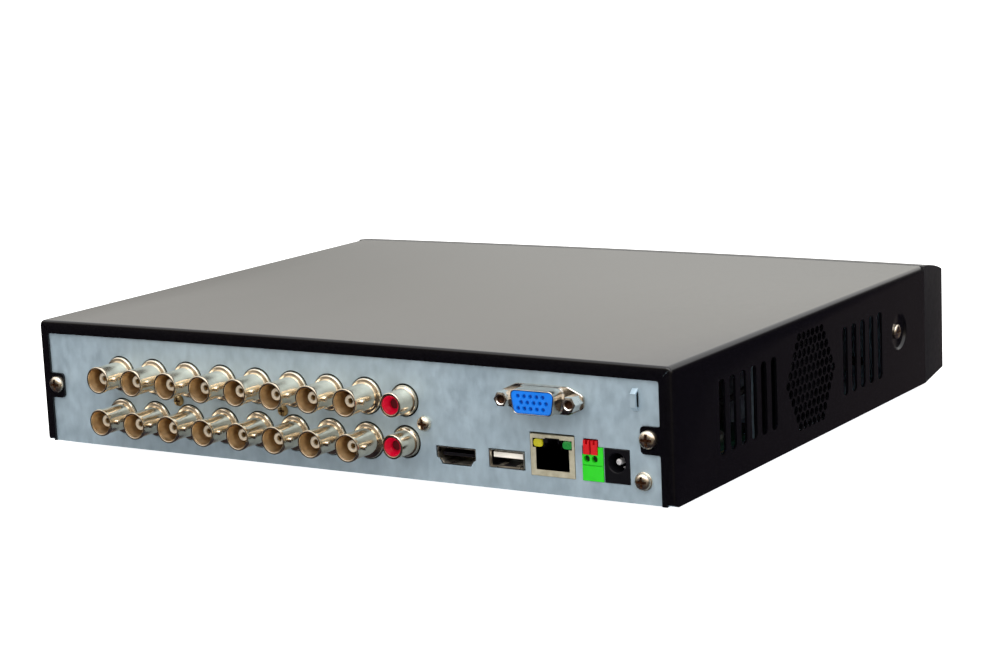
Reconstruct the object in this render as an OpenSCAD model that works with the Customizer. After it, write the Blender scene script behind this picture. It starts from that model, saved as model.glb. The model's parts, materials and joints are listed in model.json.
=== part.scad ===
// Compact sixteen-channel video recorder, lying on its four rubber feet.
// +Z is up, the front bezel faces -Y, the rear panel with the jacks faces +Y, and +X is to the
// right seen from the front. The origin is the middle of the bounding box's bottom. Millimetres.

/* [Casing] */
// Width across the cover
body_w = 259; // [256:1:268]
// Depth from the bezel's front to the cover's rear flange
body_d = 220; // [218:1:232]
// Height of the cover, without the feet
body_h = 45.2; // [44:0.1:46]
// Thickness of the steel sheet of the cover and the chassis
sheet_t = 0.8; // [0.7:0.1:0.9]
// Outer radius of the cover's long bends
bend_r = 2.2; // [1.2:0.1:2.5]
// Height of the rubber feet
foot_h = 3.2; // [2.5:0.1:5]
// Depth of the plastic front bezel
bezel_d = 19.8; // [16:0.2:22]
// Plan radius of the bezel's +X corner
bezel_r_left = 14; // [3:1:16]
// Plan radius of the bezel's -X corner
bezel_r_right = 3; // [2.5:0.5:16]

/* [Vents] */
// Width of a side slot
slot_w = 4.2; // [3:0.1:4.6]
// Distance between side slots
slot_pitch = 7.55; // [7:0.05:8]
// Diameter of a hole of the hexagonal grille
grille_hole_d = 3.1; // [2.5:0.1:3.2]
// Distance between the grille's holes
grille_pitch = 3.6; // [3.4:0.1:3.7]
// Rings of holes round the grille's middle hole
grille_rings = 5; // [3:1:5]

/* [Video jacks] */
// Columns of BNC jacks, two jacks in each
bnc_columns = 8; // [8:1:8]
// Distance between BNC jacks along the panel
bnc_pitch_x = 15.24; // [15.2:0.01:15.3]
// Distance between the two rows of BNC jacks
bnc_pitch_z = 15.2; // [15:0.1:15.4]
// Length of a BNC jack in front of the panel
bnc_len = 12.8; // [12.5:0.1:14]
// Outer diameter of the bayonet barrel
bnc_barrel_d = 9.6; // [9.5:0.1:9.7]

/* [Moving parts] */
// Travel of the terminal's push buttons
button_travel = 1.5; // [0.5:0.1:2]
// Swing of the disk's actuator arm, in degrees
arm_swing = 32; // [10:1:32]

/* [Hidden] */

$fn = 48;
gap = 0.1;             // clearance between neighbouring pieces
cut = 1;               // how far a cutter runs past the faces it cuts

// casing planes
half_w = body_w / 2;
bnc_past_cover = bnc_len - sheet_t;
total_d = body_d + bnc_past_cover;
front_y = -total_d / 2;
rear_y = front_y + body_d;
panel_y = rear_y - sheet_t;            // outer face of the rear panel
panel_in_y = panel_y - sheet_t;        // inner face of the rear panel
seam_y = front_y + bezel_d;            // where the bezel meets the cover
top_z = foot_h + body_h;
floor_z = foot_h + sheet_t;            // upper face of the chassis floor
inner_w = half_w - sheet_t;            // half the room between the cover's sides
chassis_w = inner_w - gap;
flange_w = 4.8;                        // rear flange of the cover, along the top
side_flange_w = [4.8, 3.7];            // and down the -X and the +X side
corner_r = 2.3;                        // lower rear corners of the cover's sides
tab_z = 24;
tab_h = 9;
tab_r = 1.6;
tab_x = [117.7, 119.8];                // inner ends of the -X and the +X tab
tab_screw_x = [120.5, 123.1];
tab_screw_z = 24.3;
lip_h = 5;                             // side lips of the chassis
front_wall_y = seam_y + 0.2;

// side features
side_screw_y = -72;
side_screw_z = 27.2;
dimple_r = 6.2;
dimple_depth = 1;
rear_slots_y = 71;
rear_slots = 6;
front_slots_y = -24;
front_slots = 5;
slot_low_z = 13;
slot_high_z = 37.6;
grille_y = 4.4;
grille_z = 25.4;
lug_w = 16;
lug_x = -half_w + dimple_depth + sheet_t + gap;

// screws
m3_r = 1.45;
m3_hole_r = 1.55;
small_screw_r = 1.15;
small_hole_r = 1.25;
ground_x = -118.2;
ground_z = 10.7;

// strip pressed out of the panel for a cable tie
bridge_x = -116.1;
bridge_z = 36.5;
bridge_w = 2;
bridge_out = 1.9;                      // how far the strip stands out
bridge_top_dz = 2.2;                   // half the flat part of the strip
bridge_root_dz = 3.6;                  // half the strip, with its slopes

// bezel
bezel_wall = 2.2;
bezel_top_r = 46;                      // the top curves down towards the front
bezel_nose_r = 1.6;                    // and ends in this small edge
hook_x = [-100, -40, 40, 100];
hook_z = [10, 38];
hook_w = 8;
hook_t = 1.6;
window_x = 84;
window_z = 26;
window_size = [28, 10];                // opening for the infrared window
window_lip = 1.6;                      // rim behind the opening's edge
lens_x = [-96, -84, -72];
lens_z = 26;
lens_r = 1.4;

// feet
foot_x = [-98, 98];
foot_y = [-84, 84];
foot_r = 8;
foot_plug_r = 2.8;

// video and audio jacks
bnc_first_x = 92.9;
bnc_x = [for (i = [0 : bnc_columns - 1]) bnc_first_x - i * bnc_pitch_x];
bnc_low_z = 14.95;
bnc_z = [bnc_low_z, bnc_low_z + bnc_pitch_z];
bnc_flange_r = 6.05;
bnc_flange_t = 1;                      // how far the flange stands out of the panel
bnc_hole_r = 6.45;
bnc_barrel_r = 4.55;
bnc_rim_len = 1.3;                     // thicker rim round the mouth
bnc_bore_r = 4.05;
bnc_lug_y = panel_y + 9.2;
bnc_lug_r = 0.95;
bnc_lug_out = 5.7;                     // reach of the two bayonet lugs from the axis
bnc_mouth_y = panel_y + bnc_len;
bnc_neck_r = 4.5;
bnc_root_y = panel_y - 9;              // where the shell starts inside the block
insulator_r = 2.1;
insulator_y = bnc_mouth_y - 3.5;       // face of the insulator inside the barrel
contact_r = 0.95;
contact_y = bnc_mouth_y - 4;
contact_bore_r = 0.62;
block_d = 14;
block_back_y = panel_in_y - block_d;
block_top_z = 37.8;
block_screw_x = [66.9, 21.2];
block_screw_z = 22.4;
rca_x = -29.1;
rca_z = [15.75, 29.75];
rca_shell_r = 4.15;
rca_len = 8.4;
rca_ring_r = 5.1;
rca_ring_t = 0.5;
rca_ring_slope = 0.8;                  // height of the ring's sloping part
rca_hole_r = 5.65;
rca_insert_r = 3.2;
rca_hole_in_r = 1.65;
rca_funnel_r = 2.9;
rca_root_y = panel_in_y - 6;
rca_screw_x = -36.8;
rca_screw_z = 22.6;
rca_block_w = 18;

// data jacks
vga_x = -82.7;
vga_z = 34.3;
vga_screw_dx = 12.5;
vga_len = 7.1;
vga_flange_t = 1;
vga_jack_out = 5.8;                    // how far the jackscrews' hexagons stand out
vga_jack_r = 2.7;
vga_hole_r = 1.6;
vga_thread_r = 1.42;
vga_depth = 21;
vga_shell_size = [16.6, 14.3, 8.1];    // top width, bottom width, height
vga_insert_size = [15.4, 13.2, 7.1];
vga_pin_pitch = 2.29;
vga_row_pitch = 1.98;
hdmi_x = -48.4;
hdmi_z = 12.5;
hdmi_w = 14.9;
hdmi_h = 5.6;
hdmi_depth = 11.5;
usb_x = -68;
usb_z = 13.2;
usb_w = 13.2;
usb_h = 5.8;
usb_depth = 14;
lan_x = -85.3;
lan_z = 15.85;
lan_w = 16.2;
lan_h = 13.6;
lan_depth = 21;
lan_face_y = panel_y + 0.2;
lan_cavity_w = 12.3;
lan_cavity_h = 7.2;
lan_cavity_z = lan_z - lan_h / 2 + 2;
lan_lamp_x = 5.4;                      // lamps beside the socket's middle
lan_lamp_w = 3.5;
lan_lamp_h = 2.7;
terminal_x = -100.1;
terminal_w = 7.6;
terminal_low_z = 9.05;
terminal_ledge_z = 17.55;
terminal_top_z = 20.15;
terminal_back_y = 92;
terminal_face_y = panel_y + 0.3;
wire_hole_z = 16.2;
wire_hole_r = 1.1;
groove_low_z = 13.95;                  // groove across the terminal's face
groove_high_z = 14.3;
button_w = 2.3;
button_h = 4.6;
button_x = [-98, -100.8];
button_stem_dz = 2.4;                  // the stem's height over the ledge
button_stem_r = 0.75;
button_wall_y = 94;
button_back_y = button_wall_y + button_travel + 0.7;
dc_x = -108.8;
dc_z = 15.75;
dc_w = 9;
dc_low_z = 9.05;
dc_high_z = 20.15;
dc_bore_r = 3.15;
dc_pin_r = 1.05;
dc_root_r = 0.85;                      // thinner root of the pin, pressed into the body

// main board
board_low_z = 7.35;
board_t = 1.6;
board_top_z = board_low_z + board_t;
board_left_x = -116;
board_right_x = 103;
board_front_y = 12;
board_back_y = panel_in_y - 0.6;
board_holes = [[-108, 34], [-108, 72], [-30, 20], [56, 20], [97, 46], [88, 76], [-30, 78]];
chips = [                              // X, Y, side, height
    [-30, 50, 24, 1.5],
    [2, 38, 11, 1.1],
    [2, 58, 11, 1.1],
    [62, 66, 14, 1.3],
    [86, 58, 10, 1.3],
    [-70, 40, 10, 1.1],
    [-70, 60, 9, 1]
];
capacitors = [[-94, 76], [-94, 64], [-82, 70], [40, 34], [48, 34]];
capacitor_r = 3.1;
capacitor_h = 8;
headers = [                            // X, Y, size along X, size along Y
    [74, 30, 14, 8],
    [92, 30, 12, 6],
    [-94, 37, 5, 5]
];
header_h = 3.5;

sink_x = -30;
sink_y = 50;
sink_size = 42;
sink_h = 14;
sink_fins = 9;
sink_fin_t = 1.2;
sink_pitch = (sink_size - sink_fin_t) / (sink_fins - 1);
soc_h = 1.6;
cell_x = 30;
cell_y = 60;
cell_r = 10;

// fan behind the -X grille
fan_size = 40;
fan_t = 10;
fan_out_x = -(chassis_w - sheet_t - 0.4);
fan_in_x = fan_out_x + fan_t;
fan_bore_r = 19;
fan_hole_pitch = 32;
fan_hub_r = 11;
fan_shaft_r = 1;
fan_blades = 7;
bracket_x = fan_in_x + gap;

// hard disk
drive_l = 147;
drive_w = 101.6;
drive_h = 26.1;
drive_x = -100;
drive_y = -93;
drive_z = floor_z + 3.2;
drive_top_z = drive_z + drive_h;
drive_hole_dy = 95.25;
drive_hole_x = [drive_l - 41.28, drive_l - 41.28 - 44.45];
lid_t = 1.2;
pocket_low_z = drive_z + 9;
spindle_x = drive_x + 53;
spindle_y = drive_y + drive_w / 2;
spindle_pin_r = 2;
platter_r = 47.5;
platter_z = [pocket_low_z + 3.6, pocket_low_z + 8.2];
platter_t = 1.3;
pivot_x = 5;
pivot_y = -64;
pivot_pin_r = 2.5;
arm_len = 52;
arm_barrel_r = 6.5;
arm_rest_a = 104;                      // direction of the parked arm
tail_a = arm_rest_a + 180;             // direction of the parked arm's coil
tail_z = pocket_low_z + 6;
running = 0.05;

// points along the inner leads; each ends on its header on the board
plug_z = board_top_z + header_h + 0.1;
data_lead = [
    [51.1, -58, 13.5],
    [62, -58, 14.5],
    [74, -52, 20],
    [80, -30, 26],
    [78, 0, 24],
    [74, 24, 19],
    [74, 30, 16],
    [74, 30, plug_z]
];
power_lead = [
    [51.1, -27, 13.5],
    [64, -27, 15],
    [90, -20, 22],
    [98, 0, 24],
    [95, 24, 19],
    [92, 30, 16],
    [92, 30, plug_z]
];
fan_lead = [
    [-116, 26.5, 25],
    [-112, 29, 22],
    [-104, 32, 19],
    [-94, 36, 17],
    [-94, 37, plug_z]
];

// ------------------------------------------------------------------ helpers

function arc_points(c, r, a0, a1, n = 6) =
    [for (i = [0 : n]) let (a = a0 + (a1 - a0) * i / n) [c[0] + r * cos(a), c[1] + r * sin(a)]];

// D-shaped outline, wide side up, with rounded corners
function d_outline(size, r) =
    let (w1 = size[0] / 2, w2 = size[1] / 2, h = size[2] / 2, t = atan((w1 - w2) / size[2]))
    let (x1 = w1 - r * (1 + sin(t)) / cos(t), x2 = w2 - r * (1 - sin(t)) / cos(t))
    concat(
        arc_points([x1, h - r], r, -t, 90),
        arc_points([-x1, h - r], r, 90, 180 + t),
        arc_points([-x2, r - h], r, 180 + t, 270),
        arc_points([x2, r - h], r, 270, 360 - t)
    );

// extrudes an outline drawn in X and Z along Y
module along_y(y0, y1) {
    translate([0, y1, 0]) rotate([90, 0, 0]) linear_extrude(y1 - y0) children();
}

// extrudes an outline drawn in Y and Z along X
module along_x(x0, x1) {
    translate([x0, 0, 0]) rotate([90, 0, 90]) linear_extrude(x1 - x0) children();
}

module rod_y(x, z, r, y0, y1) {
    translate([x, y1, z]) rotate([90, 0, 0]) cylinder(r = r, h = y1 - y0);
}

module rod_x(y, z, r, x0, x1) {
    translate([x0, y, z]) rotate([0, 90, 0]) cylinder(r = r, h = x1 - x0);
}

module rod_z(x, y, r, z0, z1) {
    translate([x, y, z0]) cylinder(r = r, h = z1 - z0);
}

// box from its low corner to its high corner
module block(low, high) {
    translate(low) cube(high - low);
}

module mirror_x() {
    children();
    mirror([1, 0, 0]) children();
}

// rectangle with rounded corners, from its low corner
module rounded_square(size, r) {
    translate([r, 0]) square([size[0] - 2 * r, size[1]]);
    translate([0, r]) square([size[0], size[1] - 2 * r]);
    for (x = [r, size[0] - r], y = [r, size[1] - r]) translate([x, y]) circle(r);
}

// pan-head screw standing on Z = 0 with its shank below, and a cross recess in the head
module pan_screw(head_r, head_h, shank_r, shank_len) {
    difference() {
        union() {
            cylinder(r = head_r, h = head_h * 0.55);
            translate([0, 0, head_h * 0.55]) cylinder(r1 = head_r, r2 = head_r * 0.62, h = head_h * 0.45);
        }
        for (a = [0, 90]) rotate(a) translate([-head_r * 0.6, -head_r * 0.13, head_h * 0.4])
            cube([head_r * 1.2, head_r * 0.26, head_h]);
    }
    translate([0, 0, -shank_len]) cylinder(r = shank_r, h = shank_len);
}

// places a screw on the rear panel, head outwards
module at_panel(x, z, y = panel_y) {
    translate([x, y, z]) rotate([-90, 0, 0]) children();
}

// ------------------------------------------------------------------ sweep for the leads

function unit(v) = v / norm(v);

function spline_point(a, b, c, d, t) =
    0.5 * (
        2 * b
        + (c - a) * t
        + (2 * a - 5 * b + 4 * c - d) * t * t
        + (3 * b - a - 3 * c + d) * t * t * t
    );

function smooth_path(p, n) = let (last = len(p) - 1) concat(
    [for (i = [0 : last - 1], k = [0 : n - 1])
        spline_point(p[max(i - 1, 0)], p[i], p[i + 1], p[min(i + 2, last)], k / n)],
    [p[last]]
);

function tangents(p) = let (last = len(p) - 1)
    [for (i = [0 : last]) unit(p[min(i + 1, last)] - p[max(i - 1, 0)])];

// one side direction per ring, carried along the path without twisting
function sides(t, i, s) = i == len(t) ? [] :
    let (u = unit(s - (s * t[i]) * t[i])) concat([u], sides(t, i + 1, u));

module lead(points, half_wide, half_thick, start_side) {
    corners = 8;
    path = smooth_path(points, 4);
    dirs = tangents(path);
    side = sides(dirs, 0, start_side);
    rings = len(path);
    verts = [for (i = [0 : rings - 1], k = [0 : corners - 1])
        path[i] + half_wide * cos(360 * k / corners) * side[i]
            + half_thick * sin(360 * k / corners) * cross(dirs[i], side[i])];
    quads = [for (i = [0 : rings - 2], k = [0 : corners - 1])
        let (a = i * corners + k, b = i * corners + (k + 1) % corners)
        [a, a + corners, b + corners, b]];
    start_cap = [for (k = [0 : corners - 1]) k];
    end_cap = [for (k = [0 : corners - 1]) rings * corners - 1 - k];
    polyhedron(verts, concat([start_cap], quads, [end_cap]), convexity = 4);
}

// ------------------------------------------------------------------ casing

// the cover's section across X, shrunk inwards by inset
module cover_section(inset) {
    w = half_w - inset;
    r = bend_r - inset;
    h = body_h - inset;
    translate([-w, foot_h - inset]) square([2 * w, h - r + inset]);
    translate([-w + r, foot_h + h - r - cut]) square([2 * (w - r), r + cut]);
    for (s = [-1, 1]) translate([s * (w - r), foot_h + h - r]) circle(r);
}

module side_slot(y) {
    r = slot_w / 2;
    block([-half_w - cut, y - r, slot_low_z + r], [-half_w + 2 * cut, y + r, slot_high_z - r]);
    for (z = [slot_low_z + r, slot_high_z - r]) rod_x(y, z, r, -half_w - cut, -half_w + 2 * cut);
}

module hex_grille() {
    for (row = [-grille_rings : grille_rings]) {
        holes = 2 * grille_rings + 1 - abs(row);
        for (i = [0 : holes - 1])
            rod_x(
                grille_y + (i - (holes - 1) / 2) * grille_pitch,
                grille_z + row * grille_pitch * sin(60),
                grille_hole_d / 2, -half_w - cut, -half_w + 2 * cut
            );
    }
}

module side_cuts() {
    for (i = [0 : rear_slots - 1]) side_slot(rear_slots_y - i * slot_pitch);
    for (i = [0 : front_slots - 1]) side_slot(front_slots_y - i * slot_pitch);
    hex_grille();
    rod_x(side_screw_y, side_screw_z, dimple_r, -half_w - cut, -half_w + dimple_depth);
    rod_x(side_screw_y, side_screw_z, m3_hole_r, -half_w - cut, -half_w + 3);
}

module rear_flange() {
    along_y(panel_y, rear_y) difference() {
        cover_section(0);
        translate([-half_w + side_flange_w[0], 0])
            square([body_w - side_flange_w[0] - side_flange_w[1], top_z - flange_w]);
    }
    along_y(panel_y, rear_y) for (i = [0, 1]) mirror([i, 0]) difference() {
        translate([-half_w + 2, tab_z - tab_h / 2])
            rounded_square([half_w - 2 - tab_x[i], tab_h], tab_r);
        translate([-tab_screw_x[i], tab_screw_z]) circle(m3_hole_r);
    }
}

// rounds the lower rear corner of a side
module corner_cut() along_x(-half_w - cut, -half_w + sheet_t + gap) difference() {
    translate([rear_y - corner_r, foot_h - cut]) square([corner_r + cut, corner_r + cut]);
    translate([rear_y - corner_r, foot_h + corner_r]) circle(corner_r);
}

module top_cover() color([0.09, 0.08, 0.1]) difference() {
    union() {
        along_y(seam_y, panel_y) difference() {
            cover_section(0);
            cover_section(sheet_t);
        }
        mirror_x() rod_x(side_screw_y, side_screw_z, dimple_r + sheet_t,
            -half_w + sheet_t / 2, -half_w + dimple_depth + sheet_t);
        rear_flange();
    }
    mirror_x() side_cuts();
    mirror_x() corner_cut();
}

module panel_openings() {
    y0 = panel_in_y - cut;
    y1 = panel_y + cut;
    for (x = bnc_x, z = bnc_z) rod_y(x, z, bnc_hole_r, y0, y1);
    for (z = rca_z) rod_y(rca_x, z, rca_hole_r, y0, y1);
    for (x = block_screw_x) rod_y(x, block_screw_z, small_hole_r, y0, y1);
    rod_y(rca_screw_x, rca_screw_z, small_hole_r, y0, y1);
    for (x = [-tab_screw_x[0], tab_screw_x[1]]) rod_y(x, tab_screw_z, m3_hole_r, y0, y1);
    for (s = [-1, 1]) rod_y(vga_x + s * vga_screw_dx, vga_z, vga_hole_r + 0.2, y0, y1);
    rod_y(ground_x, ground_z, m3_hole_r, y0, y1);
    along_y(y0, y1) {
        translate([vga_x, vga_z]) polygon(d_outline(vga_shell_size + [0.6, 0.6, 0.6], 2.4));
        translate([hdmi_x, hdmi_z]) polygon(hdmi_outline(0.3));
        translate([usb_x - usb_w / 2 - 0.3, usb_z - usb_h / 2 - 0.2])
            square([usb_w + 0.6, usb_h + 0.5]);
        translate([lan_x - lan_w / 2 - 0.2, lan_z - lan_h / 2 - 0.1])
            square([lan_w + 0.4, lan_h + 0.7]);
        translate([terminal_x - terminal_w / 2 - 0.1, terminal_low_z - 0.1])
            square([terminal_w + 0.2, terminal_top_z - terminal_low_z + 0.2]);
        translate([button_x[1] - button_w / 2 - 0.2, terminal_ledge_z])
            square([button_x[0] - button_x[1] + button_w + 0.4, button_h + 0.5]);
        translate([dc_x - dc_w / 2 - 0.1, dc_low_z - 0.1])
            square([dc_w + 0.2, dc_high_z - dc_low_z + 0.2]);
        translate([bridge_x - bridge_w / 2, bridge_z - bridge_top_dz - 0.2])
            square([bridge_w, 2 * bridge_top_dz + 0.4]);
    }
}

// open from side to side, so a cable tie slips under it
module tie_bridge() {
    out = panel_y + bridge_out;
    root = panel_y - sheet_t / 2;
    inner_dz = bridge_root_dz - sheet_t;
    along_x(bridge_x - bridge_w / 2, bridge_x + bridge_w / 2) translate([0, bridge_z]) difference() {
        polygon([
            [root, -bridge_root_dz], [panel_y, -bridge_root_dz], [out, -bridge_top_dz],
            [out, bridge_top_dz], [panel_y, bridge_root_dz], [root, bridge_root_dz]
        ]);
        polygon([
            [panel_y - cut, -inner_dz - cut], [out - sheet_t, -bridge_top_dz + 0.4],
            [out - sheet_t, bridge_top_dz - 0.4], [panel_y - cut, inner_dz + cut]
        ]);
    }
}

module floor_cuts() {
    for (x = foot_x, y = foot_y) rod_z(x, y, foot_plug_r + 0.2, foot_h - cut, floor_z + cut);
    for (x = drive_hole_x, s = [-1, 1])
        rod_z(drive_x + x, spindle_y + s * drive_hole_dy / 2, 1.9, foot_h - cut, drive_z + cut);
    for (i = [0 : 9], y = [-76, -40])
        block([-90 + i * 10, y, foot_h - cut], [-86 + i * 10, y + 24, floor_z + cut]);
}

module side_lug() {
    difference() {
        block([lug_x, side_screw_y - lug_w / 2, foot_h],
            [lug_x + sheet_t, side_screw_y + lug_w / 2, side_screw_z + lug_w / 2]);
        rod_x(side_screw_y, side_screw_z, m3_hole_r, -chassis_w, -chassis_w + 3);
    }
}

module fan_bracket() {
    difference() {
        block([bracket_x, grille_y - fan_size / 2, foot_h],
            [bracket_x + sheet_t, grille_y + fan_size / 2, grille_z + fan_size / 2]);
        rod_x(grille_y, grille_z, fan_bore_r - 0.5, bracket_x - cut, bracket_x + 2);
        fan_hole_places() rod_x(0, 0, m3_hole_r, bracket_x - cut, bracket_x + 2);
    }
}

module front_wall() {
    difference() {
        block([-chassis_w + 1, front_wall_y, foot_h], [chassis_w - 1, front_wall_y + sheet_t, top_z - 2]);
        for (x = hook_x, z = hook_z)
            block([x - hook_w / 2 - 0.5, front_wall_y - cut, z - hook_t],
                [x + hook_w / 2 + 0.5, front_wall_y + 2, z + hook_t]);
    }
}

module base_chassis() color([0.62, 0.67, 0.7]) difference() {
    union() {
        block([-chassis_w, seam_y + 0.2, foot_h], [chassis_w, panel_y, floor_z]);
        difference() {
            along_y(panel_in_y, panel_y) intersection() {
                cover_section(sheet_t + gap);
                translate([-chassis_w, foot_h]) square([2 * chassis_w, body_h - 1]);
            }
            panel_openings();
        }
        mirror_x() block([-chassis_w, seam_y + 0.2, foot_h],
            [-chassis_w + sheet_t, panel_y, foot_h + lip_h]);
        mirror_x() side_lug();
        fan_bracket();
        front_wall();
        tie_bridge();
        for (x = drive_hole_x, s = [-1, 1])
            rod_z(drive_x + x, spindle_y + s * drive_hole_dy / 2, 5, foot_h + sheet_t / 2, drive_z - 0.05);
    }
    floor_cuts();
}

// plan of the bezel, with a different radius at each front corner
module bezel_plan(inset) {
    w = half_w - inset;
    y = front_y + inset;
    rl = bezel_r_left - inset;
    rr = max(bezel_r_right - inset, 0.5);
    back = inset > 0 ? seam_y + cut : seam_y;
    polygon(concat(
        [[-w, back], [w, back]],
        arc_points([w - rl, y + rl], rl, 0, -90, 12),
        arc_points([-w + rr, y + rr], rr, -90, -180, 8)
    ));
}

// side section of the bezel: the underside climbs towards the front, the top curves down
module bezel_side(inset) {
    low = foot_h + inset;
    high = top_z - inset;
    y = front_y + inset - 0.01;
    back = inset > 0 ? seam_y + cut : seam_y;
    swing = bezel_top_r - bezel_nose_r;
    nose_y = y + bezel_nose_r;
    slope = asin((seam_y - nose_y) / swing);
    nose_z = high - bezel_top_r + swing * cos(slope);
    polygon(concat(
        [[back, low], [back, high]],
        arc_points([seam_y, high - bezel_top_r], bezel_top_r, 90, 90 + slope, 10),
        arc_points([nose_y, nose_z], bezel_nose_r, 90 + slope, 180, 5),
        arc_points([y + 2.2, low + 5.4], 2.2, 180, 255, 5)
    ));
}

module bezel_solid(inset) intersection() {
    translate([0, 0, foot_h - cut]) linear_extrude(body_h + 2 * cut) bezel_plan(inset);
    along_x(-half_w - cut, half_w + cut) bezel_side(inset);
}

// snap hook from the bezel's front wall through the chassis's front wall
module bezel_hook(x, z) {
    block([x - hook_w / 2, front_y + bezel_wall - 0.2, z - hook_t / 2],
        [x + hook_w / 2, front_wall_y + sheet_t + 2, z + hook_t / 2]);
    along_x(x - hook_w / 2, x + hook_w / 2) translate([front_wall_y + sheet_t + 0.15, z])
        polygon([[0, 0], [0, 1.4], [1.8, 0.8], [1.8, 0]]);
}

// box centred on the infrared window, its opening grown by margin
module window_box(margin, y0, y1) {
    w = window_size[0] / 2 + margin;
    h = window_size[1] / 2 + margin;
    block([window_x - w, y0, window_z - h], [window_x + w, y1, window_z + h]);
}

module front_bezel() color([0.12, 0.11, 0.13]) {
    difference() {
        bezel_solid(0);
        bezel_solid(bezel_wall);
        for (x = lens_x) rod_y(x, lens_z, lens_r + gap, front_y - cut, front_y + 4);
        window_box(0, front_y - cut, front_y + 4);
    }
    for (x = hook_x, z = hook_z) bezel_hook(x, z);
}

module indicator_lens() color([0.85, 0.9, 0.95]) {
    for (x = lens_x) rod_y(x, lens_z, lens_r, front_y + 0.1, front_y + 5);
    block([lens_x[0] - 4, front_y + 5, lens_z - 2.5], [lens_x[2] + 4, front_y + 7, lens_z + 2.5]);
}

module remote_window() color([0.16, 0.03, 0.05]) {
    window_box(-gap, front_y + 0.2, front_y + bezel_wall + 0.5);
    window_box(window_lip, front_y + bezel_wall + 0.05, front_y + bezel_wall + 1);
}

// soft foot: a tapered pad with a barbed plug through the floor
module foot(x, y) color([0.13, 0.13, 0.13]) translate([x, y, 0]) {
    difference() {
        cylinder(r1 = foot_r - 0.8, r2 = foot_r, h = foot_h);
        translate([0, 0, -cut]) cylinder(r = 3, h = cut + 1);
    }
    foot_plug();
}

module foot_plug() {
    translate([0, 0, foot_h]) cylinder(r = foot_plug_r, h = sheet_t + 0.1);
    translate([0, 0, floor_z + 0.1]) cylinder(r1 = foot_plug_r + 0.7, r2 = foot_plug_r - 0.8, h = 2.2);
}

// ------------------------------------------------------------------ screws

module cover_screws() color([0.78, 0.75, 0.7]) {
    for (x = [-tab_screw_x[0], tab_screw_x[1]])
        at_panel(x, tab_screw_z, rear_y) pan_screw(3, 1.8, m3_r, 4);
    for (s = [-1, 1]) translate([s * (half_w - dimple_depth), side_screw_y, side_screw_z])
        rotate([0, s * 90, 0]) pan_screw(2.7, 0.95, m3_r, 4);
}

module ground_screw() color([0.78, 0.75, 0.7])
    at_panel(ground_x, ground_z) {
        pan_screw(2.9, 2.6, m3_r, 5);
        difference() {
            cylinder(r = 3.1, h = 0.6);
            translate([0, 0, -cut]) cylinder(r = 2, h = 3);
        }
    }

module jack_block_screws() color([0.72, 0.64, 0.48]) {
    for (x = block_screw_x) at_panel(x, block_screw_z) pan_screw(2, 1.4, small_screw_r, 7);
    at_panel(rca_screw_x, rca_screw_z) pan_screw(2.5, 2, small_screw_r, 7);
}

module board_standoffs() color([0.75, 0.7, 0.55]) for (p = board_holes) difference() {
    rod_z(p[0], p[1], 3, floor_z, board_low_z);
    rod_z(p[0], p[1], m3_hole_r, floor_z + 0.6, board_low_z + cut);
}

module board_screws() color([0.78, 0.78, 0.76])
    for (p = board_holes) translate([p[0], p[1], board_top_z]) pan_screw(2.8, 2, m3_r, 4.2);

module drive_screws() color([0.78, 0.78, 0.76]) for (x = drive_hole_x, s = [-1, 1])
    translate([drive_x + x, spindle_y + s * drive_hole_dy / 2, foot_h])
        rotate([180, 0, 0]) pan_screw(3.6, 2, 1.65, 7.2);

// the four corners of the fan, in the plane across X
module fan_hole_places() for (a = [-1, 1], b = [-1, 1])
    translate([0, grille_y + a * fan_hole_pitch / 2, grille_z + b * fan_hole_pitch / 2]) children();

module fan_screws() color([0.3, 0.3, 0.32]) fan_hole_places()
    translate([bracket_x + sheet_t, 0, 0]) rotate([0, 90, 0]) pan_screw(2.7, 1.8, m3_r, 9);

// ------------------------------------------------------------------ video and audio jacks

module bnc_shell(x, z) difference() {
    union() {
        rod_y(x, z, bnc_neck_r, bnc_root_y, panel_in_y + 0.1);
        rod_y(x, z, bnc_flange_r, panel_in_y, panel_y + bnc_flange_t);
        rod_y(x, z, bnc_barrel_r, panel_y, bnc_mouth_y);
        rod_y(x, z, bnc_barrel_d / 2, bnc_mouth_y - bnc_rim_len, bnc_mouth_y);
        rod_x(bnc_lug_y, z, bnc_lug_r, x - bnc_lug_out, x + bnc_lug_out);
    }
    rod_y(x, z, bnc_bore_r, bnc_root_y + 2, bnc_mouth_y + cut);
    rod_y(x, z, insulator_r + running, bnc_root_y - cut, bnc_root_y + 3);
}

module bnc_shells(column) color([0.8, 0.75, 0.66]) for (z = bnc_z) bnc_shell(bnc_x[column], z);

module bnc_insulators() color([0.93, 0.9, 0.84]) for (x = bnc_x, z = bnc_z) difference() {
    rod_y(x, z, insulator_r, bnc_root_y, insulator_y);
    rod_y(x, z, contact_r + running, bnc_root_y - cut, bnc_mouth_y);
}

module bnc_contacts() color([0.75, 0.6, 0.35]) for (x = bnc_x, z = bnc_z) difference() {
    rod_y(x, z, contact_r, bnc_root_y, contact_y);
    rod_y(x, z, contact_bore_r, bnc_root_y + 8, bnc_mouth_y);
}

module bnc_block() color([0.1, 0.1, 0.1]) difference() {
    block([bnc_x[bnc_columns - 1] - bnc_pitch_x / 2, block_back_y, board_top_z],
        [bnc_x[0] + bnc_pitch_x / 2, panel_in_y - 0.05, block_top_z]);
    for (x = bnc_x, z = bnc_z) {
        rod_y(x, z, bnc_neck_r + running, bnc_root_y - 0.05, panel_in_y + cut);
        rod_y(x, z, bnc_flange_r + running, panel_in_y - 0.1, panel_in_y + cut);
    }
    for (x = block_screw_x) rod_y(x, block_screw_z, small_hole_r, panel_y - 8, panel_in_y + cut);
}

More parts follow.
